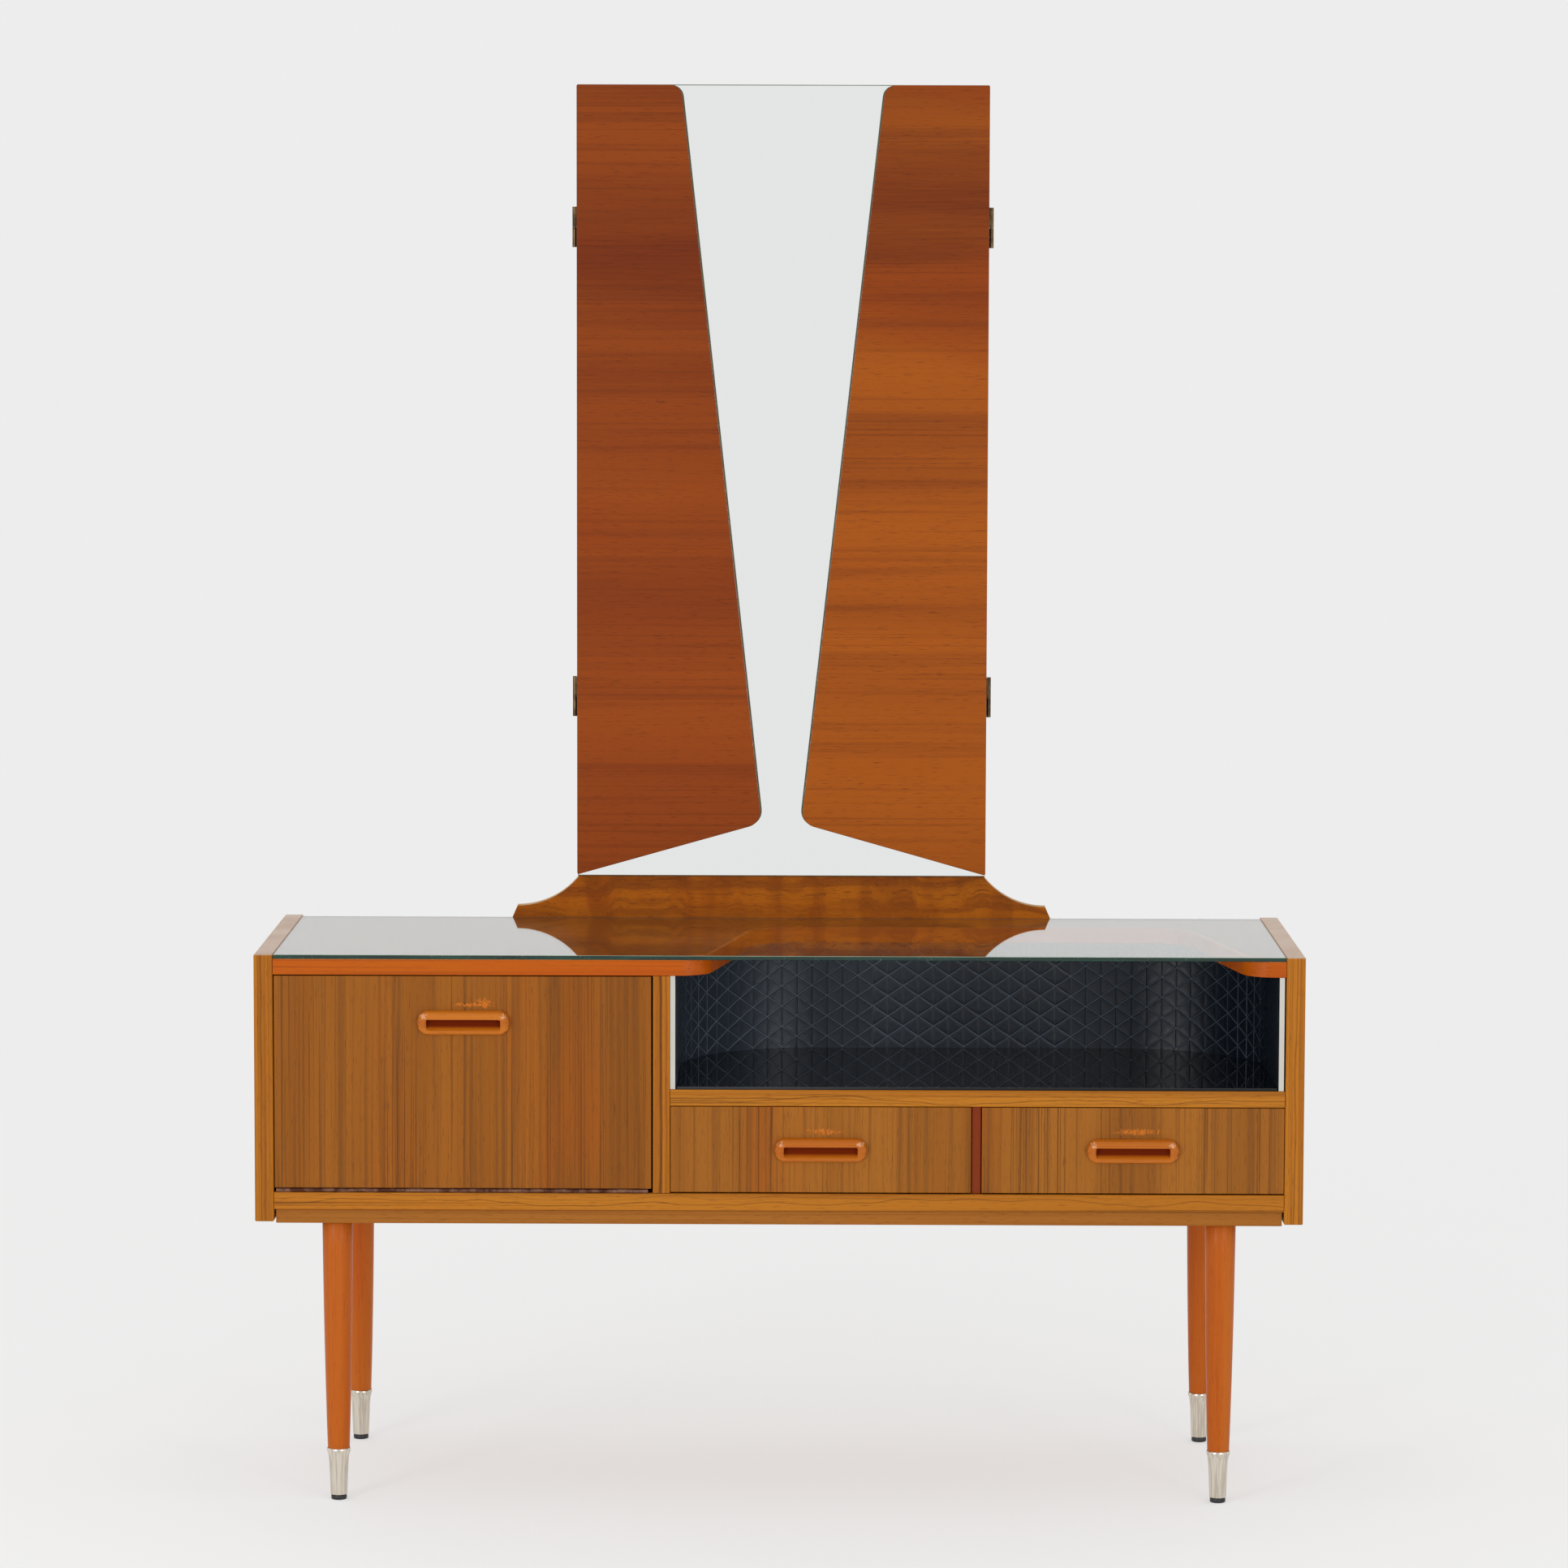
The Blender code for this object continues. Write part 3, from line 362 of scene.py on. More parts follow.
finishes = {
    "sideLeft": wood(
        "side_teak_left",
        {
            **teakEdge,
            "shift": 3.1,
            "veins": (
                ("x", -0.6165, 0.0012, 0.8),
                ("x", -0.6080, 0.0007, 0.7),
                ("x", -0.6200, 0.0005, 0.6),
            ),
            "topSheen": sideTopSheen,
        },
    ),
    "sideRight": wood(
        "side_teak_right",
        {
            **teakEdge,
            "shift": 1.3,
            "veins": (("x", 0.6145, 0.0011, 0.85), ("x", 0.6080, 0.0005, 0.6)),
            "topSheen": sideTopSheen,
        },
    ),
    "partition": wood(
        "partition_teak",
        {
            **teakEdge,
            "shift": 5.2,
            "veins": (("x", -0.1412, 0.0024, 0.95), ("x", -0.1345, 0.0009, 0.5)),
        },
    ),
    "shelf": wood(
        "shelf_teak",
        {
            **teakEdge,
            "axis": "x",
            "shift": 2.0,
            "veins": (
                ("z", 0.4935, 0.0009, 0.9),
                ("z", 0.4880, 0.0005, 0.7),
                ("z", 0.4985, 0.0005, 0.6),
            ),
            "veinWander": 0.016,
        },
    ),
    "bottom": wood(
        "bottom_teak",
        {
            **teakEdge,
            "axis": "x",
            "shift": 0.4,
            "veins": (("z", 0.3672, 0.0009, 0.85), ("z", 0.3735, 0.0005, 0.6)),
            "veinWander": 0.016,
        },
    ),
    "base": wood(
        "base_teak",
        {**teakEdge, "axis": "x", "body": (146, 88, 28), "light": (158, 98, 34), "shift": 7.7},
    ),
    "divider": wood(
        "divider_teak",
        {**orangeWood, "body": (118, 42, 8), "light": (130, 52, 12), "warm": (120, 36, 6)},
    ),
    "front": wood(
        "front_veneer",
        {
            **frontVeneer,
            "wearAndHighlights": (
                (-0.3520, 0.6066, 0.0115, 0.0062),
                (-0.3660, 0.6046, 0.026, 0.0024),
            ),
        },
    ),
    "drawer": wood(
        "drawer_veneer",
        {
            **frontVeneer,
            "body": (134, 79, 22),
            "light": (154, 94, 29),
            "dark": (108, 63, 23),
            "shift": 1.9,
            "wearAndHighlights": (
                (0.0540, 0.4535, 0.022, 0.0038),
                (0.4280, 0.4545, 0.030, 0.0040),
            ),
        },
    ),
    "top": wood("top_veneer", {**frontVeneer, "axis": "x", "shift": 4.0}),
    # The lipping's top takes a painted sheen.
    "lipping": wood("lipping_wood", {**orangeWood, "axis": "x", "topSheen": (228, 140, 62)}),
    "handle": wood(
        "handle_wood",
        {
            **orangeWood,
            "axis": "x",
            "shift": 1.7,
            "rough": 0.3,
            "body": (176, 94, 14),
            "light": (190, 108, 24),
            "specular": 0.25,
            "wearHighlightColour": (216, 166, 128),
            "wearAndHighlights": handleHighlights,
        },
    ),
    "leg": wood(
        "leg_wood",
        {
            **orangeWood,
            "rough": 0.36,
            "specular": 0.12,
            "body": (173, 83, 18),
            "light": (188, 102, 31),
            "dark": (150, 62, 12),
            "tone": 22.0,
            "streakShare": 0.3,
            "lineShare": 0.15,
        },
    ),
    # The finger slots' painted shade, lighter towards each slot's bottom.
    "flapSlotShade": wood("flap_slot_painted_shade", {**slotShadeWood, "fade": (0.5746, 0.5800, 1.0)}),
    "drawerSlotShade": wood("drawer_slot_painted_shade", {**slotShadeWood, "fade": (0.4229, 0.4283, 1.0)}),
    "wingLeft": wood("wing_veneer_left", wingVeneer),
    "wingRight": wood(
        "wing_veneer_right",
        {
            **wingVeneer,
            "body": (104, 40, 10),
            "light": (154, 77, 15),
            "bottomLight": (172, 88, 14),
            "warm": (138, 54, 5),
            "shift": 2.6,
        },
    ),
    "foot": wood(
        "foot_veneer",
        {
            **wingVeneer,
            "body": (150, 74, 3),
            "light": (174, 95, 8),
            "dark": (108, 48, 4),
            "line": (78, 34, 6),
            "warm": (160, 72, 2),
            "tone": 18.0,
            "streakShare": 0.6,
            "lineShare": 0.6,
            "poreShare": 0.7,
            "fade": None,
            "bend": 0.03,
            "bendScale": (22.0, 5.0),
            "figure": 0.55,
            "shift": 0.9,
        },
    ),
    "boardBack": wood(
        "board_back_veneer",
        {
            "axis": "z",
            "body": (150, 98, 58),
            "light": (168, 114, 72),
            "dark": (122, 76, 44),
            "line": (104, 62, 36),
            "warm": (158, 94, 50),
            "lineShare": 0.5,
            "bend": 0.008,
            "rough": 0.6,
        },
    ),
    "pale": wood(
        "pale_wood",
        {
            "axis": "y",
            "body": (196, 164, 118),
            "light": (214, 184, 140),
            "dark": (170, 134, 90),
            "line": (140, 106, 70),
            "warm": (204, 166, 112),
            "rough": 0.55,
        },
    ),
    "batten": wood(
        "batten_wood",
        {
            "axis": "z",
            "body": (190, 156, 108),
            "light": (208, 176, 130),
            "dark": (162, 124, 80),
            "line": (132, 98, 62),
            "warm": (198, 156, 100),
            "rough": 0.6,
        },
    ),
}


def hardboard():
    finish = Finish("hardboard")
    place = finish.place()
    fibre = finish.even(place, 900, 3.0, 0.7)
    cloud = finish.even(place, 7, 3.0)
    colour = finish.mix(cloud, paint(122, 84, 54), paint(146, 106, 72))
    colour = finish.mix(finish.rise(fibre, 0.55, 0.7) * 0.5, colour, paint(86, 58, 38))
    return finish.shade({"Base Color": colour, "Roughness": 0.62 + fibre * 0.2,
                         "Specular IOR Level": 0.3, "Normal": finish.bump(fibre, 0.0002, 0.4)})


def plyEdge():
    # Pale veneers glued in layers, with darker glue lines.
    finish = Finish("ply_edge")
    place = finish.place()
    x, y, z = place
    drift = finish.even(place, 9, 2.0)
    band = ((y + (drift - 0.5) * 0.0006) * 3300).sine()
    fleck = finish.noise(finish.point(x * 600, y * 1400, z * 600), 2.0)
    colour = finish.mix(finish.rise(band, -0.4, 0.5), paint(168, 126, 78), paint(206, 172, 124))
    colour = finish.mix(finish.rise(fleck, 0.5, 0.7) * 0.4, colour, paint(140, 96, 56))
    return finish.shade({"Base Color": colour, "Roughness": 0.55 + fleck * 0.1,
                         "Specular IOR Level": 0.3, "Normal": finish.bump(band + fleck, 0.0001, 0.4)})


def paintedFace(name, deep, pale, dirty):
    finish = Finish(name)
    place = finish.place()
    x, y, z = place
    cloud = finish.even(place, 16, 3.0)
    peel = finish.even(place, 500, 1.0)
    dirt = finish.rise(finish.noise(finish.point(x * 90, y * 90, z * 40), 4.0, 0.7), 0.62, 0.8)
    colour = finish.mix(cloud, paint(*deep), paint(*pale))
    colour = finish.mix(dirt * 0.4, colour, paint(*dirty))
    return finish.shade({"Base Color": colour, "Roughness": 0.4 + cloud * 0.12,
                         "Normal": finish.bump(peel, 0.0001, 0.25)})


def vinyl(name, deep, pale, rough):
    finish = Finish(name)
    place = finish.place()
    pebble = finish.node("TexVoronoi", {"feature": "DISTANCE_TO_EDGE"},
                         {"Vector": finish.point(*place), "Scale": 1300.0})
    cloud = finish.even(place, 22, 3.0)
    dust = finish.rise(finish.even(place, 700, 3.0, 0.7), 0.62, 0.78)
    colour = finish.mix(cloud, paint(*deep), paint(*pale))
    # Painted light: the left end is painted lighter, as if it stood nearer the lamp.
    paintedLight = finish.rise(place[0], -0.04, 0.24, 0.8, 0.0) * (0.7 + 0.3 * cloud)
    colour = finish.mix(paintedLight, colour, paint(*(value + 38 for value in pale)))
    colour = finish.mix(dust * 0.25, colour, paint(84, 92, 98))
    return finish.shade({"Base Color": colour, "Roughness": rough + cloud * 0.12 + dust * 0.1,
                         "Specular IOR Level": 0.26,
                         "Normal": finish.bump(finish.rise(pebble, 0.0, 0.25), 0.00008, 0.45)})


def metal(name, light, dark, rough, brushAxis, tarnish=None):
    # Brushed along an axis, or drawn along z with its colour in fine lines.
    finish = Finish(name)
    place = finish.place()
    stretch = {"x": (40, 900, 900), "z": (900, 900, 40), "drawn": (340, 340, 9)}[brushAxis]
    drawn = finish.point(*(axis * scale for axis, scale in zip(place, stretch)))
    brush = finish.noise(drawn, 2.0, 0.6)
    cloud = finish.even(place, 60, 3.0, 0.6)
    shareLight = brush if brushAxis == "drawn" else cloud
    colour = finish.mix(finish.rise(shareLight, 0.38, 0.62), paint(*dark), paint(*light))
    if tarnish:
        spots = finish.rise(finish.even(place, 240, 4.0, 0.65), 0.52, 0.72)
        colour = finish.mix(spots * 0.6, colour, paint(*tarnish))
        roughness = rough + spots * 0.22 + (brush - 0.5) * 0.12
    else:
        roughness = rough + (brush - 0.5) * 0.14 + (cloud - 0.5) * 0.06
    return finish.shade({"Base Color": colour, "Metallic": 1.0, "Roughness": roughness,
                         "Normal": finish.bump(brush, 0.00003, 0.35)})


def blackPlastic():
    finish = Finish("black_plastic")
    place = finish.place()
    grain = finish.even(place, 1800, 2.0)
    wearHighlightColour = finish.rise(finish.even(place, 200, 4.0, 0.7), 0.58, 0.75)
    colour = finish.mix(wearHighlightColour * 0.5, paint(26, 25, 27), paint(70, 66, 62))
    return finish.shade({"Base Color": colour, "Roughness": 0.45 + wearHighlightColour * 0.25 + grain * 0.05,
                         "Normal": finish.bump(grain, 0.00006, 0.3)})


def glossyGlass(name, colour, speck, rough, metallic, specular=0.5):
    # Silvered or black glass: only smears and dust change over it.
    finish = Finish(name)
    place = finish.place()
    smear = finish.even(place, 12, 4.0, 0.6)
    dust = finish.rise(finish.even(place, 900, 2.0, 0.7), 0.68, 0.8)
    tint = finish.mix(dust * 0.3, paint(*colour), paint(*speck))
    return finish.shade({"Base Color": tint, "Metallic": metallic, "Specular IOR Level": specular,
                         "Roughness": rough + finish.rise(smear, 0.45, 0.75) * 0.03 + dust * 0.08})


def clearGlass():
    finish = Finish("clear_glass")
    place = finish.place()
    smear = finish.even(place, 9, 4.0, 0.6)
    tint = finish.mix(smear, paint(246, 252, 249), paint(252, 255, 253))
    material = finish.shade({"Base Color": tint, "Transmission Weight": 1.0, "IOR": 1.52,
                             "Roughness": finish.rise(smear, 0.5, 0.8) * 0.02})
    body = finish.node("VolumeAbsorption", None, {"Color": paint(120, 205, 180), "Density": 5.0})
    finish.tree.links.new(body.socket, finish.end.inputs["Volume"])
    return material


def glassEdge(name, deep, pale, rough, clearness):
    # A cut edge: it shows the glass's own green.
    finish = Finish(name)
    place = finish.place()
    x, y, z = place
    wave = finish.noise(finish.point(x * 14, y * 14, z * 260), 3.0)
    chip = finish.rise(finish.even(place, 420, 3.0, 0.7), 0.62, 0.74)
    colour = finish.mix(finish.rise(wave, 0.3, 0.7), paint(*deep), paint(*pale))
    colour = finish.mix(chip * 0.25, colour, paint(170, 200, 184))
    return finish.shade({"Base Color": colour, "Roughness": rough + chip * 0.2, "IOR": 1.5,
                         "Transmission Weight": clearness})


finishes.update({
    "hardboard": hardboard(),
    "ply": plyEdge(),
    "lippedEdge": wood(
        "lipped_edge",
        {**wingVeneer, "axis": "z", "body": (104, 46, 16), "light": (122, 58, 20)},
    ),
    "white": paintedFace("white_board", (180, 176, 167), (194, 191, 183), (170, 160, 142)),
    "mirrorBack": paintedFace("mirror_back_paint", (86, 88, 62), (108, 108, 80), (62, 60, 44)),
    "vinyl": vinyl("black_vinyl", (10, 17, 27), (20, 29, 41), 0.24),
    # Painted highlight: the lighter crease colour stands for light caught on the groove walls.
    "creaseHighlight": vinyl("vinyl_crease_painted_highlight", (62, 74, 84), (84, 96, 106), 0.26),
    "blackEdge": vinyl("black_glass_edge", (8, 9, 11), (14, 15, 18), 0.6),
    "nickel": metal("satin_nickel", (226, 218, 204), (200, 191, 176), 0.23, "drawn"),
    # Painted shade: the brass is darkened for the shade of the gap below the flap, where its hinge
    # sits.
    "brass": metal("brass_with_painted_gap_shade", (138, 100, 82), (84, 50, 40), 0.32, "x", (44, 22, 18)),
    "hingeMetal": metal("hinge_metal", (110, 90, 64), (76, 60, 44), 0.38, "z", (66, 52, 38)),
    "steel": metal("screw_steel", (176, 172, 162), (150, 146, 138), 0.36, "x", (110, 96, 76)),
    "plastic": blackPlastic(),
    "mirror": glossyGlass("mirror_silver", (245, 247, 246), (214, 218, 214), 0.012, 1.0),
    "blackGlass": glossyGlass("black_glass", (21, 22, 24), (44, 46, 48), 0.02, 0.0, 1.0),
    "clear": clearGlass(),
    "glassEdge": glassEdge("glass_edge", (4, 34, 27), (12, 58, 46), 0.12, 0.1),
    "arris": glassEdge("ground_arris", (126, 146, 124), (158, 172, 148), 0.4, 0.0),
    "mirrorEdge": glassEdge("mirror_edge", (62, 84, 64), (98, 120, 96), 0.15, 0.0),
})
print("finishes made:", len(finishes))


def settle(bm, name, body, finish, replaced=(), smoothAngle=40, recalc=True):
    # Turns a bmesh into a piece of the object. Extra finishes follow the first in a tuple.
    bmesh.ops.remove_doubles(bm, verts=bm.verts, dist=1e-6)
    if recalc:
        bmesh.ops.recalc_face_normals(bm, faces=bm.faces)
    mesh = bpy.data.meshes.new(name)
    bm.to_mesh(mesh)
    bm.free()
    for each in finish if isinstance(finish, tuple) else (finish,):
        mesh.materials.append(finishes[each])
    piece = bpy.data.objects.new(name, mesh)
    scene.collection.objects.link(piece)
    if smoothAngle:
        mesh.shade_smooth()
        mesh.set_sharp_from_angle(angle=math.radians(smoothAngle))
    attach(piece, body)
    if replaced:
        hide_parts(*replaced)
    return piece


def spun(profile, segments, at):
    # A profile of (radius, height) turned about the upright through a point.
    bm = bmesh.new()
    verts = [bm.verts.new((radius, 0, height)) for radius, height in profile]
    edges = [bm.edges.new(pair) for pair in zip(verts, verts[1:])]
    bmesh.ops.spin(bm, geom=verts + edges, cent=(0, 0, 0), axis=(0, 0, 1), angle=math.tau,
                   steps=segments, use_merge=True)
    bmesh.ops.remove_doubles(bm, verts=bm.verts, dist=1e-6)
    bmesh.ops.translate(bm, vec=at, verts=bm.verts)
    return bm


def block(low, high):
    bm = bmesh.new()
    bmesh.ops.create_cube(bm, size=1.0)
    size = [b - a for a, b in zip(low, high)]
    centre = [(a + b) / 2 for a, b in zip(low, high)]
    bmesh.ops.scale(bm, vec=size, verts=bm.verts)
    bmesh.ops.translate(bm, vec=centre, verts=bm.verts)
    return bm


def rounded(bm, edges, width, segments):
    bmesh.ops.bevel(bm, geom=list(edges), offset=width, segments=segments, profile=0.5,
                    affect="EDGES", material=-1, clamp_overlap=True)


def joined(target, extra):
    mesh = bpy.data.meshes.new("spare")
    extra.to_mesh(mesh)
    extra.free()
    target.from_mesh(mesh)
    bpy.data.meshes.remove(mesh)


def slab(outline, front, back):
    # An outline of (x, z) given its thickness in depth.
    bm = bmesh.new()
    face = bm.faces.new([bm.verts.new((x, front, z)) for x, z in outline])
    grown = bmesh.ops.extrude_face_region(bm, geom=[face])["geom"]
    moved = [item for item in grown if isinstance(item, bmesh.types.BMVert)]
    bmesh.ops.translate(bm, verts=moved, vec=(0, back - front, 0))
    bmesh.ops.recalc_face_normals(bm, faces=bm.faces)
    return bm


def dress(finish, *names):
    # A CAD node whose shape is right keeps it and takes the finish.
    for name in names:
        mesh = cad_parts[name].data
        mesh.materials.clear()
        mesh.materials.append(finishes[finish])


dress("sideLeft", "side_panel_left")
dress("sideRight", "side_panel_right")
dress("partition", "partition_panel")
dress("shelf", "niche_shelf")
dress("bottom", "bottom_panel")
dress("base", "base_rail_front", "base_rail_back")
dress("divider", "drawer_divider")
dress("front", "flap_panel")
dress("drawer", "drawer_left_front", "drawer_right_front")
dress("top", "top_panel")
dress("hardboard", "back_panel", "drawer_left_bottom", "drawer_right_bottom")
dress("pale", "drawer_left_carcase", "drawer_right_carcase")
dress("batten", "mirror_batten_left", "mirror_batten_right")
dress("white", "niche_shell")
dress("vinyl", "niche_vinyl")
dress("plastic", "flap_catch")
dress("brass", "flap_hinge_fixed_leaf", "flap_hinge_moving_leaf")
dress("steel", "flap_stay_bar", "flap_stay_bracket", "flap_stay_stud")
for side in ("left", "right"):
    for level in ("lower", "upper"):
        for half in ("fixed", "moving"):
            dress("hingeMetal", f"mirror_hinge_{side}_{level}_{half}")
print("boards dressed")


glassTop = {"arris": 0.0004, "arrisSteps": 1}


def makeGlassTop():
    low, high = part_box("glass_top")
    bm = block(low, high)
    rounded(bm, bm.edges, glassTop["arris"], glassTop["arrisSteps"])
    for face in bm.faces:
        if abs(face.normal.y) > 0.95 or abs(face.normal.x) > 0.95:
            face.material_index = 1
        elif abs(face.normal.z) < 0.95:
            face.material_index = 2 if face.normal.z > 0 else 1
    sheet = settle(bm, "glass_top_sheet", "cabinet", ("clear", "glassEdge", "arris"),
                   ("glass_top",), smoothAngle=0)
    sheet.visible_shadow = False  # lamps reach what lies under clear glass


makeGlassTop()
print("glass top made")


legTurning = {
    "segments": 56,
    "topRadius": 0.0183,
    "ankleRadius": 0.0134,
    "ankleHeight": 0.0640,
    "belly": 0.0007,
    "steps": 8,
    "shoulder": 0.0005,
    "chamfer": 0.0006,
    "spigot": ((0.0084, 0.0125), (0.0100, 0.0400), (0.0110, 0.0535), (0.0123, 0.0590)),
}
ferruleTurning = {
    "profile": (
        (0.0, 0.0062), (0.0096, 0.0062), (0.0101, 0.0066), (0.0102, 0.0078), (0.0105, 0.0180),
        (0.0109, 0.0300), (0.0114, 0.0410), (0.0119, 0.0490), (0.0124, 0.0534), (0.0131, 0.0566),
        (0.0138, 0.0586), (0.0142, 0.0600), (0.01425, 0.0612), (0.0141, 0.0623), (0.0138, 0.0629),
        (0.0137, 0.0631), (0.0136, 0.0628), (0.0134, 0.0620), (0.0125, 0.0590),
        (0.0112, 0.0535), (0.0102, 0.0400), (0.0088, 0.0124), (0.0, 0.0120),
    ),
    "segments": 64,
}
glideTurning = {
    "profile": (
        (0.0, 0.0), (0.0076, 0.0), (0.0087, 0.0003), (0.0093, 0.0010), (0.0094, 0.0020),
        (0.0094, 0.0050), (0.0091, 0.0056), (0.0, 0.0057),
    ),
    "segments": 48,
}


def makeLeg(corner):
    low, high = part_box(f"leg_{corner}")
    at = ((low.x + high.x) / 2, (low.y + high.y) / 2, 0)
    look = legTurning
    top = high.z
    ankle, ankleHeight = look["ankleRadius"], look["ankleHeight"]
    profile = [(0, low.z), *look["spigot"], (ankle - 0.0002, ankleHeight)]
    for step in range(1, look["steps"]):  # a slight swell on the way up
        share = step / look["steps"]
        swell = look["belly"] * math.sin(math.pi * share)
        radius = ankle + (look["topRadius"] - ankle) * share + swell
        profile.append((radius, ankleHeight + (top - ankleHeight) * share))
    radius = look["topRadius"]
    profile += [(radius, top - look["chamfer"]), (radius - look["shoulder"], top), (0, top)]
    settle(spun(profile, look["segments"], at), f"turned_leg_{corner}", "cabinet", "leg",
           (f"leg_{corner}",), smoothAngle=50)
    ferrule = spun(ferruleTurning["profile"], ferruleTurning["segments"], at)
    settle(ferrule, f"turned_ferrule_{corner}", "cabinet", "nickel",
           (f"ferrule_{corner}",), smoothAngle=60)
    glide = spun(glideTurning["profile"], glideTurning["segments"], at)
    settle(glide, f"turned_glide_{corner}", "cabinet", "plastic",
           (f"glide_{corner}",), smoothAngle=60)


for corner in ("front_left", "front_right", "rear_left", "rear_right"):
    makeLeg(corner)
print("legs made")


handleShape = {
    "halfWidth": 0.0545,
    "halfHeight": 0.0145,
    "corner": 0.0125,
    "slotHalf": 0.0452,
    "proud": 0.0109,
    "ridge": 0.0050,
    "crownHalf": 0.040,  # the crown's height falls away from here
    "crownEnd": 0.0152,
    "crownLow": 0.30,
    "slotEnd": 0.0036,
    "turns": (14, 30, 48, 66, 80),  # degrees of the quarter round above the ridge
    "slot": (
        (-0.0084, 0.0044), (-0.0066, 0.0080), (-0.0010, 0.0080), (-0.0012, -0.0044),
        (-0.0042, -0.0092),
    ),
    "stations": 40,
    "deep": (9, 5),  # the section points inside the finger slot: first and count
}


def handleSection(x):
    # The handle's section at a distance from its middle, as (y, z), y negative outwards.
    look = handleShape
    far = max(0.0, abs(x) - (look["halfWidth"] - look["corner"])) / look["corner"]
    squeeze = math.sqrt(max(0.0, 1 - min(far, 0.9995) ** 2))  # plan corners are round
    half = look["halfHeight"] - look["corner"] * (1 - squeeze)
    outer = max(0.0, abs(x) - look["crownHalf"]) / look["crownEnd"]
    low = look["crownLow"]
    crown = look["proud"] * (low + (1 - low) * math.sqrt(max(0.0, 1 - outer ** 2)))
    reach = max(0.0, min(1.0, (look["slotHalf"] - abs(x)) / look["slotEnd"]))
    opening = reach * reach * (3 - 2 * reach)
    ridge = look["ridge"] * half / look["halfHeight"]
    top = [(0.0003, half), (-0.0013, half)]
    for degrees in look["turns"]:
        turn = math.radians(degrees)
        height = ridge + (half - ridge) * math.cos(turn) ** 0.8
        top.append((min(-0.0014, -crown * math.sin(turn)), height))
    top += [(-crown, ridge + 0.0004), (-crown + 0.0005, ridge - 0.0004)]
    solid = [
        (-0.93 * crown, ridge - 0.0016),
        (-0.86 * crown, ridge - 0.0030),
        (-0.78 * crown, -half * 0.34),
        (-0.66 * crown, -half * 0.52),
        (-0.50 * crown, -half * 0.70),
    ]
    middle = [
        (a[0] + (b[0] - a[0]) * opening, a[1] + (b[1] - a[1]) * opening)
        for a, b in zip(solid, look["slot"])
    ]
    bottom = [
        (-0.0050 * (0.5 + 0.5 * squeeze), -half * 0.74),
        (-0.0036, -half + 0.0012),
        (-0.0016, -half),
        (0.0003, -half),
    ]
    return top + middle + bottom


def makeHandle(name):
    # The handle's body has the name of what it opens.
    look = handleShape
    low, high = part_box(f"{name}_handle")
    at = Vector(((low.x + high.x) / 2, 0, (low.z + high.z) / 2))
    back = high.y  # the panel's face
    bm = bmesh.new()
    rings = []
    for step in range(look["stations"] + 1):
        # Stations crowd towards the two ends.
        x = look["halfWidth"] * 0.9995 * math.sin(math.pi / 2 * (2 * step / look["stations"] - 1))
        ring = [bm.verts.new((at.x + x, back - 0.0003 + y, at.z + z)) for y, z in handleSection(x)]
        rings.append([bm.edges.new((a, b)) for a, b in zip(ring, ring[1:] + ring[:1])])
    for first, second in zip(rings, rings[1:]):
        bmesh.ops.bridge_loops(bm, edges=first + second)
    for ring in (rings[0], rings[-1]):
        bmesh.ops.edgeloop_fill(bm, edges=ring)
    bm.verts.index_update()
    count = len(handleSection(0))
    deep = {look["deep"][0] + step for step in range(look["deep"][1])}
    # Faces inside the finger slot take the slot's painted shade.
    for face in bm.faces:
        inside = all(vert.index % count in deep for vert in face.verts)
        if inside and abs(face.calc_center_median().x - at.x) < look["slotHalf"]:
            face.material_index = 1
    slot = "flapSlotShade" if name == "flap" else "drawerSlotShade"
    settle(bm, f"carved_{name}_handle", name, ("handle", slot),
           (f"{name}_handle",), smoothAngle=38)


for name in ("flap", "drawer_left", "drawer_right"):
    makeHandle(name)
print("handles made")


quilt = {
    "side": 0.0254,  # the upright side of one triangle
    "column": 0.0190,
    "groove": 0.00035,
    "shoulder": 0.0007,
    "proud": 0.0006,
    "inner": 0.0030,
    "dish": 0.0003,
    "flattened": 0.6,  # how much of the relief is lost away from the two curves
    "curveReach": 0.9,  # share of a curve's length over which the relief fades
    "radius": 0.165,
    "skin": 0.0015,
    "rowStart": 0.3,
    "sliver": 2e-6,
    "slant": 0.003,  # a crease with less run than this is upright
    "longEdge": 0.009,
    "clear": 0.0001,
    "wall": 0.0002,
}


def quiltPath(distance, away, line):
    # A point of the lining's wall: so far along it, and so far behind its face.
    straight, arc, back = line["straight"], line["arc"], line["back"]
    r = quilt["radius"]
    total = 2 * straight + 2 * arc + back
    flip = distance > total / 2
    if flip:
        distance = total - distance
    if distance < straight:
        point, normal = Vector((line["left"], line["front"] + distance)), Vector((-1, 0))
    elif distance < straight + arc:
        angle = (distance - straight) / r
        centre = Vector((line["left"] + r, line["front"] + straight))
        normal = Vector((-math.cos(angle), math.sin(angle)))
        point = centre + normal * r
    else:
        point = Vector((line["left"] + r + distance - straight - arc, line["front"] + straight + r))
        normal = Vector((0, 1))
    point = point + normal * away
    if flip:
        point.x = line["left"] + line["right"] - point.x
    return point


